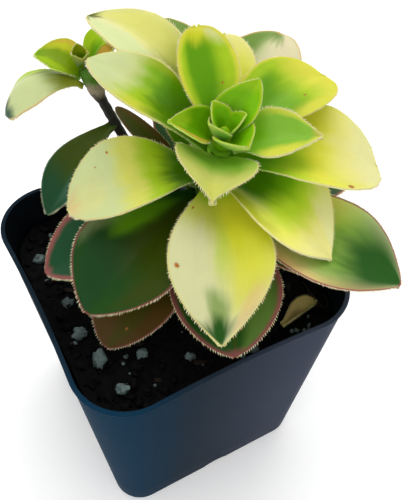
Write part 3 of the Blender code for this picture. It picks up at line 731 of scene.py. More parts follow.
def leaf_material(name, leaf, seed):
    plant = bpy.context.scene.aeonium_plant
    shown = leaf.look
    material, wires, shader, place = new_material(name)
    leaf_map = wires.node("ShaderNodeUVMap", uv_map="leaf_map").outputs[0]
    rim = wires.node("ShaderNodeAttribute", attribute_name="rim").outputs["Fac"]
    under = wires.node("ShaderNodeAttribute", attribute_name="under").outputs["Fac"]

    def paint(key):
        return (*getattr(plant, key), 1.0)

    drifted = wires.group(stored_group("Drift", drift_group), Map=leaf_map, Seed=seed)
    color = paint(shown.base)
    for key, s, v, reach_s, reach_v, strength in shown.patches:
        values = {"S": s, "V": v, "Reach S": reach_s, "Reach V": reach_v, "Strength": strength}
        patch = wires.group(stored_group("Patch", patch_group), Map=drifted["Map"], **values)
        color = wires.mix(patch["Mask"], color, paint(key))
    color = wires.group(
        stored_group("Margin", margin_group),
        Color=color,
        Map=leaf_map,
        Seed=seed,
        Rim=rim,
        Under=under,
        Edge=paint(shown.edge[0]),
        Edge_Width=shown.edge[1],
        Pale=paint("sage"),
    )["Color"]
    # The gain: above 1 it is painted light on a leaf that lies in shade.
    color = wires.shade(color, shown.gain)
    for s, v, size in shown.spots:
        values = {"S": s, "V": v, "Length": leaf.length, "Half Width": 0.5 * leaf.width}
        spot = wires.group(
            stored_group("Blemish", spot_group), Map=leaf_map, Place=place, Size=size, **values
        )
        color = wires.mix(spot["Mask"], color, paint("blemish"))
    skin = wires.group(
        stored_group("Leaf skin", leaf_skin_group), Map=leaf_map, Place=place, Midrib=0.6
    )
    paint_shader(wires, shader, color, skin["Gloss"])
    set_values(
        shader,
        Subsurface_Weight=0.18,
        Subsurface_Radius=(0.6, 1.0, 0.25),
        Subsurface_Scale=1.2 * MM,
        Specular_IOR_Level=0.12,
    )
    give_bump(wires, shader, skin["Height"], 0.35, 0.12 * MM)
    return material


def bristle_material():
    stored = bpy.data.materials.get("leaf_bristle")
    if stored:
        return stored
    plant = bpy.context.scene.aeonium_plant
    material, wires, shader, place = new_material("leaf_bristle")
    mottle = mottled(wires, place, plant.blush, plant.bristle, 500.0, 0.15)
    paint_shader(wires, shader, mottle["Color"])
    set_values(shader, Roughness=0.4, Subsurface_Weight=0.3, Subsurface_Scale=0.5 * MM)
    return material


# Leaves


def on_axis(low, high, height):
    return low + (high - low) * ((height - low.z) / (high.z - low.z))


def half_width(leaf, s):
    if s < leaf.belly:
        rise = math.sin(math.pi / 2 * max(0.0, s) / leaf.belly) ** BELLY_POWER
        share = ROOT_SHARE + (1 - ROOT_SHARE) * rise
    elif s < 1.0:
        share = math.cos(math.pi / 2 * (s - leaf.belly) / (1 - leaf.belly)) ** leaf.blunt
    else:
        share = 0.0
    return max(TIP_HALF, 0.5 * leaf.width * MM * share)


def leaf_point(leaf, start, s, v, depth=0.0):
    """A point of the leaf: s from stem to tip, v from right to left margin, depth below the top."""
    length = leaf.length * MM
    azimuth = math.radians(leaf.azimuth)
    pitch = math.radians(leaf.pitch)
    turn = math.radians(leaf.tip_pitch - leaf.pitch) or 1e-4
    here = pitch + turn * s
    out = length * (math.sin(here) - math.sin(pitch)) / turn
    rise = length * (math.cos(pitch) - math.cos(here)) / turn
    width = half_width(leaf, s)
    roll = math.radians(leaf.roll) * min(1.0, max(0.0, s) / ROLL_BY)
    fold = math.radians(leaf.fold) * (1 - FOLD_LOST * s)
    across = width * v * math.cos(fold)
    valley = (math.hypot(v, FOLD_ROUND) - FOLD_ROUND) / (math.hypot(1.0, FOLD_ROUND) - FOLD_ROUND)
    lift = width * math.sin(fold) * valley - depth
    side = across * math.cos(roll) - lift * math.sin(roll) + length * leaf.sway * s * s
    normal = across * math.sin(roll) + lift * math.cos(roll)
    out -= math.sin(here) * normal
    rise += math.cos(here) * normal
    return start + Vector((
        math.cos(azimuth) * out - math.sin(azimuth) * side,
        math.sin(azimuth) * out + math.cos(azimuth) * side,
        rise,
    ))


def leaf_depth(leaf, s, v):
    plant = bpy.context.scene.aeonium_plant
    middle = min(plant.leaf_thickness, THICK_SHARE * leaf.width * MM) * (1 - THIN_TO_TIP * s)
    crown = max(0.0, middle - plant.leaf_edge)
    return plant.leaf_edge + crown * (1 - min(1.0, abs(v)) ** RIM_POWER)


def leaf_start(leaf, low, high, away):
    azimuth = math.radians(leaf.azimuth)
    outwards = Vector((math.cos(azimuth), math.sin(azimuth), 0.0))
    return on_axis(low, high, leaf.height * MM) + outwards * away


def rippled_point(leaf, start, s, v, depth, seed):
    """The solid's form with a slight unevenness that grows towards the margins."""
    ripple = bpy.context.scene.aeonium_plant.ripple
    wave = noise.noise(Vector((5.0 * s, 1.3 * v, seed)))
    fine = noise.noise(Vector((16.0 * s, 2.0 * v, seed + 40.0)))
    lift = ripple * (wave + 0.35 * fine) * (0.35 + abs(v)) * min(1.0, 0.045 * leaf.width)
    return leaf_point(leaf, start, s, v, depth - lift)


def leaf_blade(leaf, start, seed, rows, columns):
    """A grid bent to the leaf's form, thickened to its own depth and closed."""
    deselect_all()
    bpy.ops.mesh.primitive_grid_add(x_subdivisions=rows, y_subdivisions=columns, size=1.0)
    blade = bpy.context.active_object
    mesh = blade.data
    leaf_map = mesh.uv_layers.active
    leaf_map.name = "leaf_map"
    places = []
    for vert in mesh.vertices:
        u = vert.co.x + 0.5
        s = BLADE_FROM + (1 - BLADE_FROM) * (1 - (1 - u) ** 1.5)
        v = math.sin(math.pi / 2 * 2 * vert.co.y) * 0.35 + 2 * vert.co.y * 0.65
        places.append((s, v))
    for loop in mesh.loops:
        s, v = places[loop.vertex_index]
        leaf_map.data[loop.index].uv = (s, 0.5 + 0.5 * v)
    thick = blade.vertex_groups.new(name="thick")
    deepest = leaf_depth(leaf, BLADE_FROM, 0.0)
    rims = []
    for vert, (s, v) in zip(mesh.vertices, places):
        vert.co = rippled_point(leaf, start, s, v, 0.0, seed)
        thick.add([vert.index], leaf_depth(leaf, s, v) / deepest, "REPLACE")
        to_side = (1 - abs(v)) * half_width(leaf, s) / MM
        to_tip = (1 - s) * leaf.length * 0.8
        rims.append(min(to_side, to_tip))
    rim = mesh.attributes.new("rim", "FLOAT", "POINT")
    rim.data.foreach_set("value", rims)
    count = len(mesh.vertices)
    apply_modifier(
        blade,
        "SOLIDIFY",
        thickness=deepest,
        offset=-1.0,
        vertex_group="thick",
        use_even_offset=False,
    )
    mesh = blade.data
    under = mesh.attributes.new("under", "FLOAT", "POINT")
    under.data.foreach_set("value", [float(i >= count) for i in range(len(mesh.vertices))])
    blade.vertex_groups.clear()
    return blade


def bristle_template(length):
    """One bristle: a four-sided cone that leans forward along +X, standing on +Z."""
    stored = bpy.data.meshes.get("one_bristle")
    if stored:
        return stored
    deselect_all()
    bpy.ops.mesh.primitive_cone_add(
        vertices=4,
        radius1=0.24 * MM,
        radius2=0.04 * MM,
        depth=length,
        location=(0, 0, 0.35 * length),
    )
    cone = bpy.context.active_object
    apply_place(cone)
    edit_all(cone)
    bpy.ops.mesh.quads_convert_to_tris()
    bpy.ops.object.mode_set(mode="OBJECT")
    mesh = cone.data
    for vert in mesh.vertices:
        vert.co.x += 0.35 * max(0.0, vert.co.z) ** 2 / length
    mesh.name = "one_bristle"
    mesh.use_fake_user = True
    bpy.data.objects.remove(cone)
    return mesh


def leaf_bristles(leaf, start, seed, scale):
    """Bristles along both margins, at an even pitch with a small seeded variation."""
    plant = bpy.context.scene.aeonium_plant
    draw = random.Random(seed * 7.0 + 3.0)
    template = bristle_template(plant.bristle_length)
    bm = bmesh.new()
    for side in (-1.0, 1.0):
        travelled = 0.0
        wanted = plant.bristle_pitch * draw.random()
        before = None
        for step in range(BRISTLE_STEPS + 1):
            s = BRISTLE_FROM + (BRISTLE_TO - BRISTLE_FROM) * step / BRISTLE_STEPS
            here = rippled_point(leaf, start, s, side, 0.5 * plant.leaf_edge, seed)
            if before is not None:
                travelled += (here - before).length
            if before is not None and travelled >= wanted:
                wanted += plant.bristle_pitch * scale**0.5 * draw.uniform(0.75, 1.25)
                forward = (here - before).normalized()
                inside = rippled_point(leaf, start, s, 0.85 * side, 0.5 * plant.leaf_edge, seed)
                out = here - inside
                out = (out - forward * out.dot(forward)).normalized()
                out = (out + forward * draw.uniform(0.1, 0.5)).normalized()
                up = out.cross(forward).normalized()
                out = (out + up * draw.uniform(-0.15, 0.15)).normalized()
                forward = up.cross(out).normalized()
                size = scale * draw.uniform(0.7, 1.15)
                matrix = Matrix((forward, up, out)).transposed().to_4x4()
                matrix.translation = here
                matrix = matrix @ Matrix.Diagonal((size, size, size, 1.0))
                known = len(bm.verts)
                bm.from_mesh(template)
                bm.verts.ensure_lookup_table()
                bmesh.ops.transform(bm, matrix=matrix, verts=bm.verts[known:])
            before = here
    bmesh.ops.recalc_face_normals(bm, faces=bm.faces[:])
    return mesh_object("bristles", bm)


def smooth(obj, degrees=40.0):
    make_active(obj)
    bpy.ops.object.shade_smooth_by_angle(angle=math.radians(degrees))


def whole_leaf(name, leaf, start, seed, rows, columns, bristle_scale):
    blade = leaf_blade(leaf, start, seed, rows, columns)
    blade.data.materials.append(leaf_material(name, leaf, seed))
    bristles = leaf_bristles(leaf, start, seed, bristle_scale)
    bristles.data.materials.append(bristle_material())
    leaf_obj = join_objects(name, [blade, bristles])
    smooth(leaf_obj)
    return leaf_obj


def build_leaves(prefix, leaves, low, high, stem_radius):
    for number, leaf in enumerate(leaves, start=1):
        node = f"{prefix}_{number:02d}"
        start = leaf_start(leaf, low, high, stem_radius(leaf.height) + SEAT_GAP)
        large = leaf.length > 30
        rows, columns = LARGE_GRID if large else SMALL_GRID
        scale = 1.0 if leaf.width > 15 else 0.7
        piece = whole_leaf(node + "_leaf", leaf, start, 10.0 + number, rows, columns, scale)
        settle(piece, node + "_leaf", [node])


def build_heart(node, leaves, low, high, bud_radius):
    middle = on_axis(low, high, leaves[0].height * MM)
    pieces = []
    for number, leaf in enumerate(leaves, start=1):
        start = leaf_start(leaf, low, high, HEART_SEAT)
        name = f"{node}_leaf_{number}"
        pieces.append(whole_leaf(name, leaf, start, 50.0 + number, *HEART_GRID, 0.75))
    deselect_all()
    bpy.ops.mesh.primitive_uv_sphere_add(
        segments=24, ring_count=14, radius=bud_radius, location=middle
    )
    bud = bpy.context.active_object
    apply_place(bud)
    for vert in bud.data.vertices:
        away = vert.co - middle
        turn = math.atan2(away.y, away.x)
        high_share = max(0.0, away.z / bud_radius)
        vert.co.z += 0.5 * bud_radius * high_share**2
        pinch = 1 - 0.35 * high_share + 0.06 * math.cos(3 * turn)
        vert.co.x = middle.x + away.x * pinch
        vert.co.y = middle.y + away.y * pinch
    bud.data.uv_layers.active.name = "leaf_map"
    bud.data.materials.append(pieces[0].data.materials[0])
    heart = join_objects(node + "_leaves", pieces + [bud])
    smooth(heart)
    settle(heart, node + "_leaves", [node])


class AEONIUM_OT_main_leaves(bpy.types.Operator):
    """Build the leaves of the large rosette"""

    bl_idname = "aeonium.main_leaves"
    bl_label = "Main leaves"

    def execute(self, context):
        plant = context.scene.aeonium_plant

        def stem_radius(height):
            return plant.main_stem_radius

        build_leaves("main_leaf", MAIN_LEAVES, MAIN_LOW, MAIN_HIGH, stem_radius)
        return {"FINISHED"}


class AEONIUM_OT_side_leaves(bpy.types.Operator):
    """Build the leaves of the small rosette"""

    bl_idname = "aeonium.side_leaves"
    bl_label = "Side leaves"

    def execute(self, context):
        plant = context.scene.aeonium_plant

        def stem_radius(height):
            return plant.side_node_radius if height > SIDE_NODE_FROM else plant.side_stem_radius

        build_leaves("side_leaf", SIDE_LEAVES, SIDE_LOW, SIDE_HIGH, stem_radius)
        return {"FINISHED"}


class AEONIUM_OT_hearts(bpy.types.Operator):
    """Build the closed hearts of both rosettes"""

    bl_idname = "aeonium.hearts"
    bl_label = "Hearts"

    def execute(self, context):
        build_heart("main_heart", MAIN_HEART, MAIN_LOW, MAIN_HIGH, MAIN_BUD_RADIUS)
        build_heart("side_heart", SIDE_HEART, SIDE_LOW, SIDE_HIGH, SIDE_BUD_RADIUS)
        return {"FINISHED"}


class AEONIUM_OT_fallen_leaf(bpy.types.Operator):
    """Build the dry curled leaf on the soil"""

    bl_idname = "aeonium.fallen_leaf"
    bl_label = "Fallen leaf"

    def execute(self, context):
        name = "fallen_dry_leaf"
        piece = whole_leaf(name, FALLEN_LEAF, FALLEN_LEAF_START, 70.0, *FALLEN_GRID, 0.6)
        settle(piece, name, ["fallen_leaf"])
        return {"FINISHED"}


# Stems


def stem_route(foot, bends, middle, low, high):
    route = [foot, foot + Vector((0.0, 0.0, STEM_UPRIGHT))]
    if middle:
        route.append(middle)
    route += [on_axis(low, high, z * MM) for z in bends if z * MM > route[-1].z + 4 * MM]
    return route


def build_stem(node, route, swell, radius, scars, bands):
    """A tube along the route, with a ring of relief for each old leaf scar.

    Each band is a colour that takes over between two heights.
    """
    name = node + "_bark"
    stem = new_tube(name, radius, 6, route, swell, 14)
    mesh = stem.data
    normals = [vert.normal.copy() for vert in mesh.vertices]
    for vert, normal in zip(mesh.vertices, normals):
        ring = math.sin(2 * math.pi * vert.co.z / scars)
        rough = noise.noise(vert.co * 700.0)
        vert.co += normal * radius * (0.05 * ring + 0.07 * rough)
    material, wires, shader, place = new_material(name + "_bark")
    plant = bpy.context.scene.aeonium_plant
    dark = times_each(0.45, plant.bark)
    mottle = mottled(wires, place, dark, plant.bark, 420.0, 0.05)
    _, _, height = wires.parts(place)
    ragged = wires.scaled(mottle["Height"], 0.006, height)
    color = mottle["Color"]
    for low, high, band in bands:
        color = wires.mix(wires.step(ragged, low * MM, high * MM), color, (*band, 1.0))
    paint_shader(wires, shader, color)
    set_values(shader, Roughness=0.7)
    give_bump(wires, shader, mottle["Height"], 0.7, 0.4 * MM)
    mesh.materials.append(material)
    smooth(stem, 50.0)
    settle(stem, name, [node])


class AEONIUM_OT_stems(bpy.types.Operator):
    """Build both stems, with their scars"""

    bl_idname = "aeonium.stems"
    bl_label = "Stems"

    def execute(self, context):
        plant = context.scene.aeonium_plant
        main = stem_route(MAIN_STEM_FOOT, MAIN_STEM_BENDS, None, MAIN_LOW, MAIN_HIGH)
        side = stem_route(SIDE_STEM_FOOT, SIDE_STEM_BENDS, SIDE_STEM_MIDDLE, SIDE_LOW, SIDE_HIGH)
        young = ((106, 120, plant.fresh),)
        swollen = ((115, 119, plant.node), (119, 122, plant.deep))
        evenly = [1.0] * len(main)
        build_stem("main_stem", main, evenly, plant.main_stem_radius, 3.4 * MM, young)
        build_stem("side_stem", side, SIDE_STEM_SWELL, plant.side_stem_radius, 2.6 * MM, swollen)
        return {"FINISHED"}


# Pot


SIDE_STEPS = 8
CORNER_STEPS = 14
HOLE_AWAY = 22.0 * MM * math.sqrt(2)
# Where the painted sheen lies (a painted reflection), by the distance towards the front left
# corner, and the painted reflection of the floor, by x
CORNER_SHIFT = 11.0 * MM
CORNER_TAPER = -0.12
SHEEN_REACH = (50.0 * MM, 94.0 * MM)
FLOOR_REFLECTION_REACH = (-30.0 * MM, 45.0 * MM)


def rounded_square(half, corner, height, bow):
    """Points round a square whose corners are arcs and whose sides bow inwards a little."""
    points = []
    straight = half - corner
    for quarter in range(4):
        side = []
        for step in range(SIDE_STEPS):
            along = -straight + 2 * straight * step / SIDE_STEPS
            side.append((half - bow * math.cos(math.pi / 2 * along / straight), along))
        for step in range(CORNER_STEPS):
            angle = math.pi / 2 * step / CORNER_STEPS
            side.append((straight + corner * math.cos(angle), straight + corner * math.sin(angle)))
        turn = Matrix.Rotation(math.radians(90 * quarter), 3, "Z")
        points += [turn @ Vector((x, y, height)) for x, y in side]
    return points


def pot_profile(pot):
    """The section of the pot: height, how far inside the outer face, and the taper's height."""
    lip = pot.height - 1.3 * MM
    outside = [
        (0.0, 1.0, 0.0),
        (0.15, 0.4, 0.3),
        (0.8, 0.0, 0.8),
        (12.0, 0.0, 12.0),
        (45.0, 0.0, 45.0),
        (78.0, 0.0, 78.0),
    ]
    points = [(height * MM, inset * MM, level * MM) for height, inset, level in outside]
    points += [(lip, 0.0, lip), (lip + 0.25 * MM, -0.4 * MM, lip), (lip + 0.5 * MM, -0.5 * MM, lip)]
    top = pot.height
    points += [(top - 0.3 * MM, -0.5 * MM, top), (top - 0.08 * MM, -0.35 * MM, top)]
    points += [(top, 0.0, top), (top, pot.wall - 0.4 * MM, top)]
    points += [(top - 0.1 * MM, pot.wall - 0.1 * MM, top), (top - 0.4 * MM, pot.wall, top)]
    points += [(60.0 * MM, pot.wall, 60.0 * MM), (25.0 * MM, pot.wall, 25.0 * MM)]
    points += [(pot.floor + 0.8 * MM, pot.wall, 0.8 * MM)]
    points += [(pot.floor, pot.wall + 0.8 * MM, 0.4 * MM)]
    return points


def build_pot(pot):
    """A grid wrapped round the pot's section, closed at its seam and over both floors."""
    round_count = 4 * (SIDE_STEPS + CORNER_STEPS)
    profile = pot_profile(pot)
    deselect_all()
    bpy.ops.mesh.primitive_grid_add(
        x_subdivisions=round_count, y_subdivisions=len(profile) - 1, size=1.0
    )
    shell = bpy.context.active_object
    rings = []
    for height, inset, level in profile:
        share = level / pot.height
        half = 0.5 * (pot.base_side + (pot.rim_side - pot.base_side) * share) - inset
        corner = pot.base_corner + (pot.rim_corner - pot.base_corner) * share - inset
        rings.append(rounded_square(half, corner, height, pot.side_bow * share))
    for vert in shell.data.vertices:
        around = round((vert.co.x + 0.5) * round_count) % round_count
        ring = round((vert.co.y + 0.5) * (len(profile) - 1))
        vert.co = rings[ring][around]
    edit_all(shell)
    bpy.ops.mesh.remove_doubles(threshold=1e-6)
    bpy.ops.mesh.select_all(action="DESELECT")
    bpy.ops.mesh.select_non_manifold()
    bpy.ops.mesh.fill_holes(sides=0)
    turn_faces_out()
    return shell


def cutter(away, angle, **values):
    """A cylinder at a distance and angle from the pot's middle, level with its foot."""
    deselect_all()
    place = (away * math.cos(angle), away * math.sin(angle), 0.0)
    bpy.ops.mesh.primitive_cylinder_add(vertices=40, location=place, **values)
    tool = bpy.context.active_object
    apply_place(tool)
    return tool


def cut_pot(shell, pot):
    """Four drain holes in the floor and a notch in the middle of each side's foot."""
    for quarter in range(4):
        angle = math.radians(90 * quarter)
        diagonal = angle + math.radians(45)
        hole = cutter(HOLE_AWAY, diagonal, radius=4.0 * MM, depth=5.6 * MM)
        turned = (math.radians(90), 0.0, angle + math.radians(90))
        notch = cutter(
            0.5 * pot.base_side,
            angle,
            radius=5.0 * MM,
            depth=11.2 * MM,
            rotation=turned,
            scale=(1.0, 0.44, 1.0),
        )
        for tool in (hole, notch):
            apply_modifier(shell, "BOOLEAN", operation="DIFFERENCE", solver="EXACT", object=tool)
            bpy.data.objects.remove(tool)


def pot_inside_material(pot):
    """The plastic inside the rim, a darker copy of the outside plastic: painted shade."""
    material, wires, shader, place = new_material("nursery_pot_inside")
    dark = times_each(0.2, pot.plastic)
    mottle = mottled(wires, place, dark, times_each(0.5, pot.plastic), 90.0, 0.0)
    paint_shader(wires, shader, mottle["Color"])
    set_values(shader, Specular_IOR_Level=0.05, Roughness=0.8)
    return material


def pot_material(pot):
    material, wires, shader, place = new_material("nursery_pot_plastic")
    mottle = mottled(wires, place, pot.plastic, times_each(1.5, pot.plastic), 90.0, -0.05)
    x, y, height = wires.parts(place)
    # Painted reflection: a bluish sheen on the front left corner, narrowing towards the rim.
    corner = wires.scaled(wires.plus(x, y), -1.0, CORNER_SHIFT)
    painted_sheen = wires.step(wires.scaled(height, CORNER_TAPER, corner), *SHEEN_REACH)
    # Painted reflection of the bright floor: the plastic lightens towards +x.
    floor_reflection_share = wires.step(x, *FLOOR_REFLECTION_REACH)
    color = wires.mix(floor_reflection_share, mottle["Color"], (*pot.floor_reflection, 1.0))
    color = wires.mix(wires.times(painted_sheen, 0.85), color, (*pot.sheen, 1.0))
    paint_shader(wires, shader, color, wires.scaled(mottle["Height"], 0.2, 0.42))
    set_values(shader, Specular_IOR_Level=0.004)
    fine = wires.noise(place, 700.0, 4.0, 0.6)
    give_bump(wires, shader, fine, 0.12, 0.1 * MM)
    return material


class AEONIUM_OT_pot(bpy.types.Operator):
    """Build the square nursery pot"""

    bl_idname = "aeonium.pot"
    bl_label = "Pot"

    def execute(self, context):
        pot = context.scene.aeonium_pot
        shell = build_pot(pot)
        cut_pot(shell, pot)
        shell.data.materials.append(pot_material(pot))
        shell.data.materials.append(pot_inside_material(pot))
        # Faces on the inside of the wall take the darker copy of the plastic: painted shade.
        for face in shell.data.polygons:
            inwards = face.normal.x * face.center.x + face.normal.y * face.center.y
            if inwards < -0.5 * face.center.xy.length and face.center.z > 20 * MM:
                face.material_index = 1
        smooth(shell, 30.0)
        settle(shell, "nursery_pot_shell", ["nursery_pot"])
        return {"FINISHED"}


# Soil


DISH_REACH = 44.5 * MM
SOIL_CELLS = 210
SOIL_SEED = 11
BARK_CHIPS = 70
SMALL_GRAINS = 60


def soil_height(soil, x, y):
    """The solid's surface: crumbs from layered noise and a shallow dish."""
    place = Vector((x, y, 0.0)) / soil.crumb_size
    height = soil.top + soil.crumb_height * noise.noise(place)
    height += 0.5 * soil.crumb_height * noise.noise(place * 2.3 + Vector((7.0, 3.0, 0.0)))
    height -= soil.dish * math.hypot(x, y) / DISH_REACH
    return height


def soil_relief(soil, x, y):
    """The surface with finer crumbs on it."""
    height = soil_height(soil, x, y)
    place = Vector((x, y, 0.0)) / (2.2 * MM)
    lumps = 1.0 - noise.voronoi(place)[0][0]
    height += 0.55 * MM * (lumps - 0.5)
    height += 0.35 * MM * noise.fractal(place * 2.0, 0.7, 2.1, 4)
    return height


def on_soil(soil, x, y, above):
    return Vector((x, y, soil_height(soil, x, y) + above))


def any_turn(draw):
    return [draw.uniform(0, 6.28) for _ in range(3)]


def uneven_size(draw, size, least, most):
    return Vector([size * draw.uniform(least, most) for _ in range(3)])


def pot_half_inside(pot, height):
    share = height / pot.height
    outer = 0.5 * (pot.base_side + (pot.rim_side - pot.base_side) * share)
    return outer - pot.wall - pot.side_bow * share - 0.35 * MM


def to_rounded(u, v, half, corner):
    """The point of a rounded square in the direction of a point on the unit square's edge."""
    straight = half - corner
    x, y = u * half, v * half
    over_x, over_y = max(0.0, abs(x) - straight), max(0.0, abs(y) - straight)
    if over_x > 0 and over_y > 0:
        scale = corner / max(math.hypot(over_x, over_y), corner)
        x = math.copysign(straight + over_x * scale, x)
        y = math.copysign(straight + over_y * scale, y)
    return x, y


def soil_material(name, dark, light, scale, balance, roughness, relief):
    material, wires, shader, place = new_material(name)
    mottle = mottled(wires, place, dark, light, scale, balance)
    paint_shader(wires, shader, mottle["Color"], wires.scaled(mottle["Height"], 0.3, roughness))
    set_values(shader, Specular_IOR_Level=0.12)
    give_bump(wires, shader, mottle["Height"], 0.8, relief)
    return material


def build_soil_bed(soil, pot):
    half_top = pot_half_inside(pot, soil.top)
    corner = pot.rim_corner - pot.wall
    deselect_all()
    bpy.ops.mesh.primitive_grid_add(x_subdivisions=SOIL_CELLS, y_subdivisions=SOIL_CELLS, size=2.0)
    bed = bpy.context.active_object
    for vert in bed.data.vertices:
        u, v = vert.co.x, vert.co.y
        reach = max(abs(u), abs(v))
        if reach > 1e-6:
            x, y = to_rounded(u / reach, v / reach, half_top, corner)
            vert.co.x, vert.co.y = x * reach, y * reach
        vert.co.z = soil_relief(soil, vert.co.x, vert.co.y)
    edit_all(bed)
    bpy.ops.mesh.select_all(action="DESELECT")
    bpy.ops.mesh.select_non_manifold()
    bpy.ops.mesh.extrude_edges_move()
    bm = bmesh.from_edit_mesh(bed.data)
    shrink = (pot_half_inside(pot, pot.floor) - 0.8 * MM) / half_top
    for vert in bm.verts:
        if vert.select:
            vert.co = Vector((vert.co.x * shrink, vert.co.y * shrink, pot.floor + 0.35 * MM))
    bmesh.update_edit_mesh(bed.data)
    bpy.ops.mesh.edge_face_add()
    turn_faces_out()
    return bed


def lump_template(name, subdivisions, roughness, seed):
    """A stone or crumb: an icosphere pushed in and out by noise."""
    deselect_all()
    bpy.ops.mesh.primitive_ico_sphere_add(subdivisions=subdivisions, radius=1.0)
    lump = bpy.context.active_object
    for vert in lump.data.vertices:
        direction = vert.co.normalized()
        bulge = noise.noise(direction * 1.1 + Vector((seed, 0.0, 0.0)))
        dent = noise.noise(direction * 2.7 + Vector((0.0, seed, 0.0)))
        vert.co = direction * (1.0 + roughness * (bulge + 0.6 * dent))
    lump.name = name
    return lump


def scatter(name, templates, places, material):
    """Copies of the templates at each place (location, turn, three-way scale), as one piece."""
    bm = bmesh.new()
    for number, (location, turn, scale) in enumerate(places):
        known = len(bm.verts)
        bm.from_mesh(templates[number % len(templates)].data)
        bm.verts.ensure_lookup_table()
        matrix = Matrix.LocRotScale(location, Euler(turn), scale)
        bmesh.ops.transform(bm, matrix=matrix, verts=bm.verts[known:])
    for template in templates:
        bpy.data.objects.remove(template)
    obj = mesh_object(name, bm)
    obj.data.materials.append(material)
    smooth(obj, 50.0)
    return settle(obj, name)


def free_places(soil, pot, draw, count, margin):
    """Seeded places on the soil, inside the wall."""
    half = pot_half_inside(pot, soil.top) - margin
    found = []
    while len(found) < count:
        u, v = draw.uniform(-1, 1), draw.uniform(-1, 1)
        reach = max(abs(u), abs(v), 1e-6)
        x, y = to_rounded(u / reach, v / reach, half, pot.rim_corner - pot.wall - margin)
        found.append((x * reach, y * reach))
    return found


class AEONIUM_OT_soil(bpy.types.Operator):
    """Build the potting soil with its crumbs, bark chips, pale grains and dry fibre"""

    bl_idname = "aeonium.soil"
    bl_label = "Soil"

    def execute(self, context):
        soil = context.scene.aeonium_soil
        pot = context.scene.aeonium_pot
        darker = times_each(0.35, soil.earth)
        bed = build_soil_bed(soil, pot)
        bed.data.materials.append(
            soil_material("soil_earth", darker, soil.earth, 520.0, 0.0, 0.8, 0.5 * MM)
        )
        smooth(bed, 60.0)
        settle(bed, "potting_soil_bed", ["potting_soil"])
        draw = random.Random(SOIL_SEED)
        self.build_crumbs(soil, pot, draw, darker)
        self.build_chips(soil, pot, draw)
        self.build_grains(soil, pot, draw)
        self.build_fibre(soil)
        return {"FINISHED"}

    def build_crumbs(self, soil, pot, draw, darker):
        places = []
        for x, y in free_places(soil, pot, draw, soil.crumbs, 1.5 * MM):
            size = draw.uniform(0.5, 1.0) ** 2 * 1.7 * MM
            turn = any_turn(draw)
            scale = uneven_size(draw, size, 0.6, 1.2)
            places.append((on_soil(soil, x, y, 0.1 * size), turn, scale))
        templates = [lump_template(f"crumb_{i}", 2, 0.55, 3.0 * i) for i in range(4)]
        material = soil_material("crumb_earth", darker, soil.bark, 260.0, -0.25, 0.75, 0.4 * MM)
        scatter("soil_crumbs", templates, places, material)

    def build_chips(self, soil, pot, draw):
        places = []
        for x, y in free_places(soil, pot, draw, BARK_CHIPS, 3.0 * MM):
            size = draw.uniform(0.9, 2.6) * MM
            turn = (draw.uniform(-0.3, 0.3), draw.uniform(-0.3, 0.3), draw.uniform(0, 6.28))
            scale = Vector((size, 0.35 * size, 0.18 * size))
            places.append((on_soil(soil, x, y, 0.3 * MM), turn, scale))
        templates = [lump_template(f"chip_{i}", 2, 0.5, 20.0 + 2.0 * i) for i in range(3)]
        light = times_each(1.6, soil.bark)
        material = soil_material("bark_chip", soil.bark, light, 420.0, 0.0, 0.7, 0.3 * MM)
        scatter("bark_chips", templates, places, material)

    def build_grains(self, soil, pot, draw):
        places = []
        for x, y, radius in GRAINS:
            size = 0.72 * radius * MM
            turn = any_turn(draw)
            scale = uneven_size(draw, size, 0.75, 1.15)
            places.append((on_soil(soil, x * MM, y * MM, 0.35 * size), turn, scale))
        for x, y in free_places(soil, pot, draw, SMALL_GRAINS, 2.5 * MM):
            size = draw.uniform(0.25, 0.8) * MM
            turn = any_turn(draw)
            scale = uneven_size(draw, size, 0.7, 1.2)
            places.append((on_soil(soil, x, y, 0.4 * MM), turn, scale))
        templates = [lump_template(f"grain_{i}", 3, 0.5, 40.0 + 5.0 * i) for i in range(4)]
        dim = times_each(0.35, soil.grain)
        material = soil_material("pale_grain", dim, soil.grain, 330.0, 0.15, 0.6, 0.3 * MM)
        scatter("pale_grains", templates, places, material)

    def build_fibre(self, soil):
        route = [on_soil(soil, x * MM, y * MM, 0.9 * MM) for x, y in FIBRE_ROUTE]
        fibre = new_tube("dry_fibre", 0.2 * MM, 2, route, [1.0] * len(route))
        light = times_each(2.5, soil.bark)
        fibre.data.materials.append(
            soil_material("fibre_straw", soil.bark, light, 300.0, 0.1, 0.7, 0.1 * MM)
        )
        smooth(fibre)
        settle(fibre, "dry_fibre")


# Stage

CAMERA_AZIMUTH = math.radians(-31.065)
CAMERA_ELEVATION = math.radians(51.665)
CAMERA_ROLL = math.radians(3.105)
CAMERA_AWAY = 254.87 * MM
CAMERA_TARGET = Vector((23.50, 19.93, 56.20)) * MM
CAMERA_LENS = 48.04
SENSOR_HEIGHT = 36.0


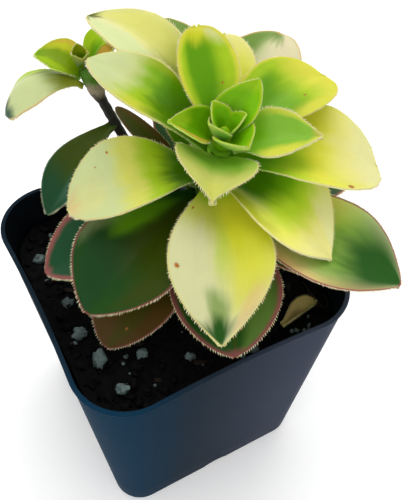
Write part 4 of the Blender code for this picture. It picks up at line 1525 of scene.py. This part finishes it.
class AEONIUM_OT_stage(bpy.types.Operator):
    """Set the floor, the soft studio lights and the camera"""

    bl_idname = "aeonium.stage"
    bl_label = "Stage"

    def execute(self, context):
        stage = context.scene.aeonium_stage
        self.build_floor(stage)
        self.build_sky(context.scene, stage)
        self.add_light("key_light", stage.key, (0.15, 0.25, 0.75), (0.02, 0.01, 0.1), 0.7)
        self.add_light("fill_light", stage.fill, (-0.7, -0.35, 0.5), (0.0, 0.0, 0.09), 0.6)
        self.add_camera(context.scene)
        return {"FINISHED"}

    def build_floor(self, stage):
        deselect_all()
        bpy.ops.mesh.primitive_plane_add(size=6.0, location=(0.0, 0.0, -0.0002))
        floor = bpy.context.active_object
        apply_place(floor)
        floor.name = "floor"
        material, wires, shader, place = new_material("floor_paper")
        grain = wires.noise(place, 900.0)
        shade = wires.scaled(grain, 0.01, 1.0)
        paint_shader(wires, shader, wires.shade((*stage.floor, 1.0), shade))
        set_values(
            shader,
            Roughness=0.9,
            Specular_IOR_Level=0.1,
            Emission_Color=(1.0, 1.0, 1.0, 1.0),
            Emission_Strength=0.18,
        )
        floor.data.materials.append(material)

    def build_sky(self, scene, stage):
        world = bpy.data.worlds.new("studio")
        world.use_nodes = True
        back = world.node_tree.nodes["Background"]
        back.inputs["Color"].default_value = (1.0, 1.0, 1.0, 1.0)
        back.inputs["Strength"].default_value = stage.sky
        scene.world = world
        scene.view_settings.view_transform = "Standard"

    def add_light(self, name, power, place, aim, size):
        data = bpy.data.lights.new(name, "AREA")
        data.energy = power
        data.size = size
        light = new_object(name, data)
        light.location = place
        look_at = Vector(aim) - Vector(place)
        light.rotation_euler = look_at.to_track_quat("-Z", "Y").to_euler()

    def add_camera(self, scene):
        data = bpy.data.cameras.new("photo_camera")
        data.sensor_fit = "VERTICAL"
        data.sensor_height = SENSOR_HEIGHT
        data.lens = CAMERA_LENS
        data.clip_start = 0.01
        back = Vector((
            math.sin(CAMERA_AZIMUTH) * math.cos(CAMERA_ELEVATION),
            -math.cos(CAMERA_AZIMUTH) * math.cos(CAMERA_ELEVATION),
            math.sin(CAMERA_ELEVATION),
        ))
        right = (-back).cross(Vector((0.0, 0.0, 1.0))).normalized()
        up = right.cross(-back)
        turned_right = right * math.cos(CAMERA_ROLL) + up * math.sin(CAMERA_ROLL)
        turned_up = up * math.cos(CAMERA_ROLL) - right * math.sin(CAMERA_ROLL)
        matrix = Matrix((turned_right, turned_up, back)).transposed().to_4x4()
        matrix.translation = CAMERA_TARGET + back * CAMERA_AWAY
        scene.camera = new_object("photo_camera", data)
        scene.camera.matrix_world = matrix


class AEONIUM_PT_panel(bpy.types.Panel):
    """Lists the pieces of the potted aeonium"""

    bl_idname = "AEONIUM_PT_panel"
    bl_label = "Potted aeonium"
    bl_space_type = "VIEW_3D"
    bl_region_type = "UI"
    bl_category = "Aeonium"

    def draw(self, context):
        column = self.layout.column()
        for operator in OPERATORS:
            column.operator(operator.bl_idname)


OPERATORS = (
    AEONIUM_OT_pot,
    AEONIUM_OT_soil,
    AEONIUM_OT_stems,
    AEONIUM_OT_main_leaves,
    AEONIUM_OT_side_leaves,
    AEONIUM_OT_hearts,
    AEONIUM_OT_fallen_leaf,
    AEONIUM_OT_stage,
)
SETTINGS = {
    "aeonium_pot": PotSettings,
    "aeonium_soil": SoilSettings,
    "aeonium_plant": PlantSettings,
    "aeonium_stage": StageSettings,
}
CLASSES = (*SETTINGS.values(), *OPERATORS, AEONIUM_PT_panel)


def register():
    for item in CLASSES:
        bpy.utils.register_class(item)
    for name, group in SETTINGS.items():
        setattr(bpy.types.Scene, name, bpy.props.PointerProperty(type=group))


def unregister():
    for name in SETTINGS:
        delattr(bpy.types.Scene, name)
    for item in reversed(CLASSES):
        bpy.utils.unregister_class(item)


def write_sizes():
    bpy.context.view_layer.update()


def main():
    register()
    bpy.ops.aeonium.stage()
    bpy.ops.aeonium.pot()
    bpy.ops.aeonium.soil()
    bpy.ops.aeonium.stems()
    bpy.ops.aeonium.main_leaves()
    bpy.ops.aeonium.side_leaves()
    bpy.ops.aeonium.hearts()
    bpy.ops.aeonium.fallen_leaf()
    write_sizes()


if __name__ == "__main__":
    main()
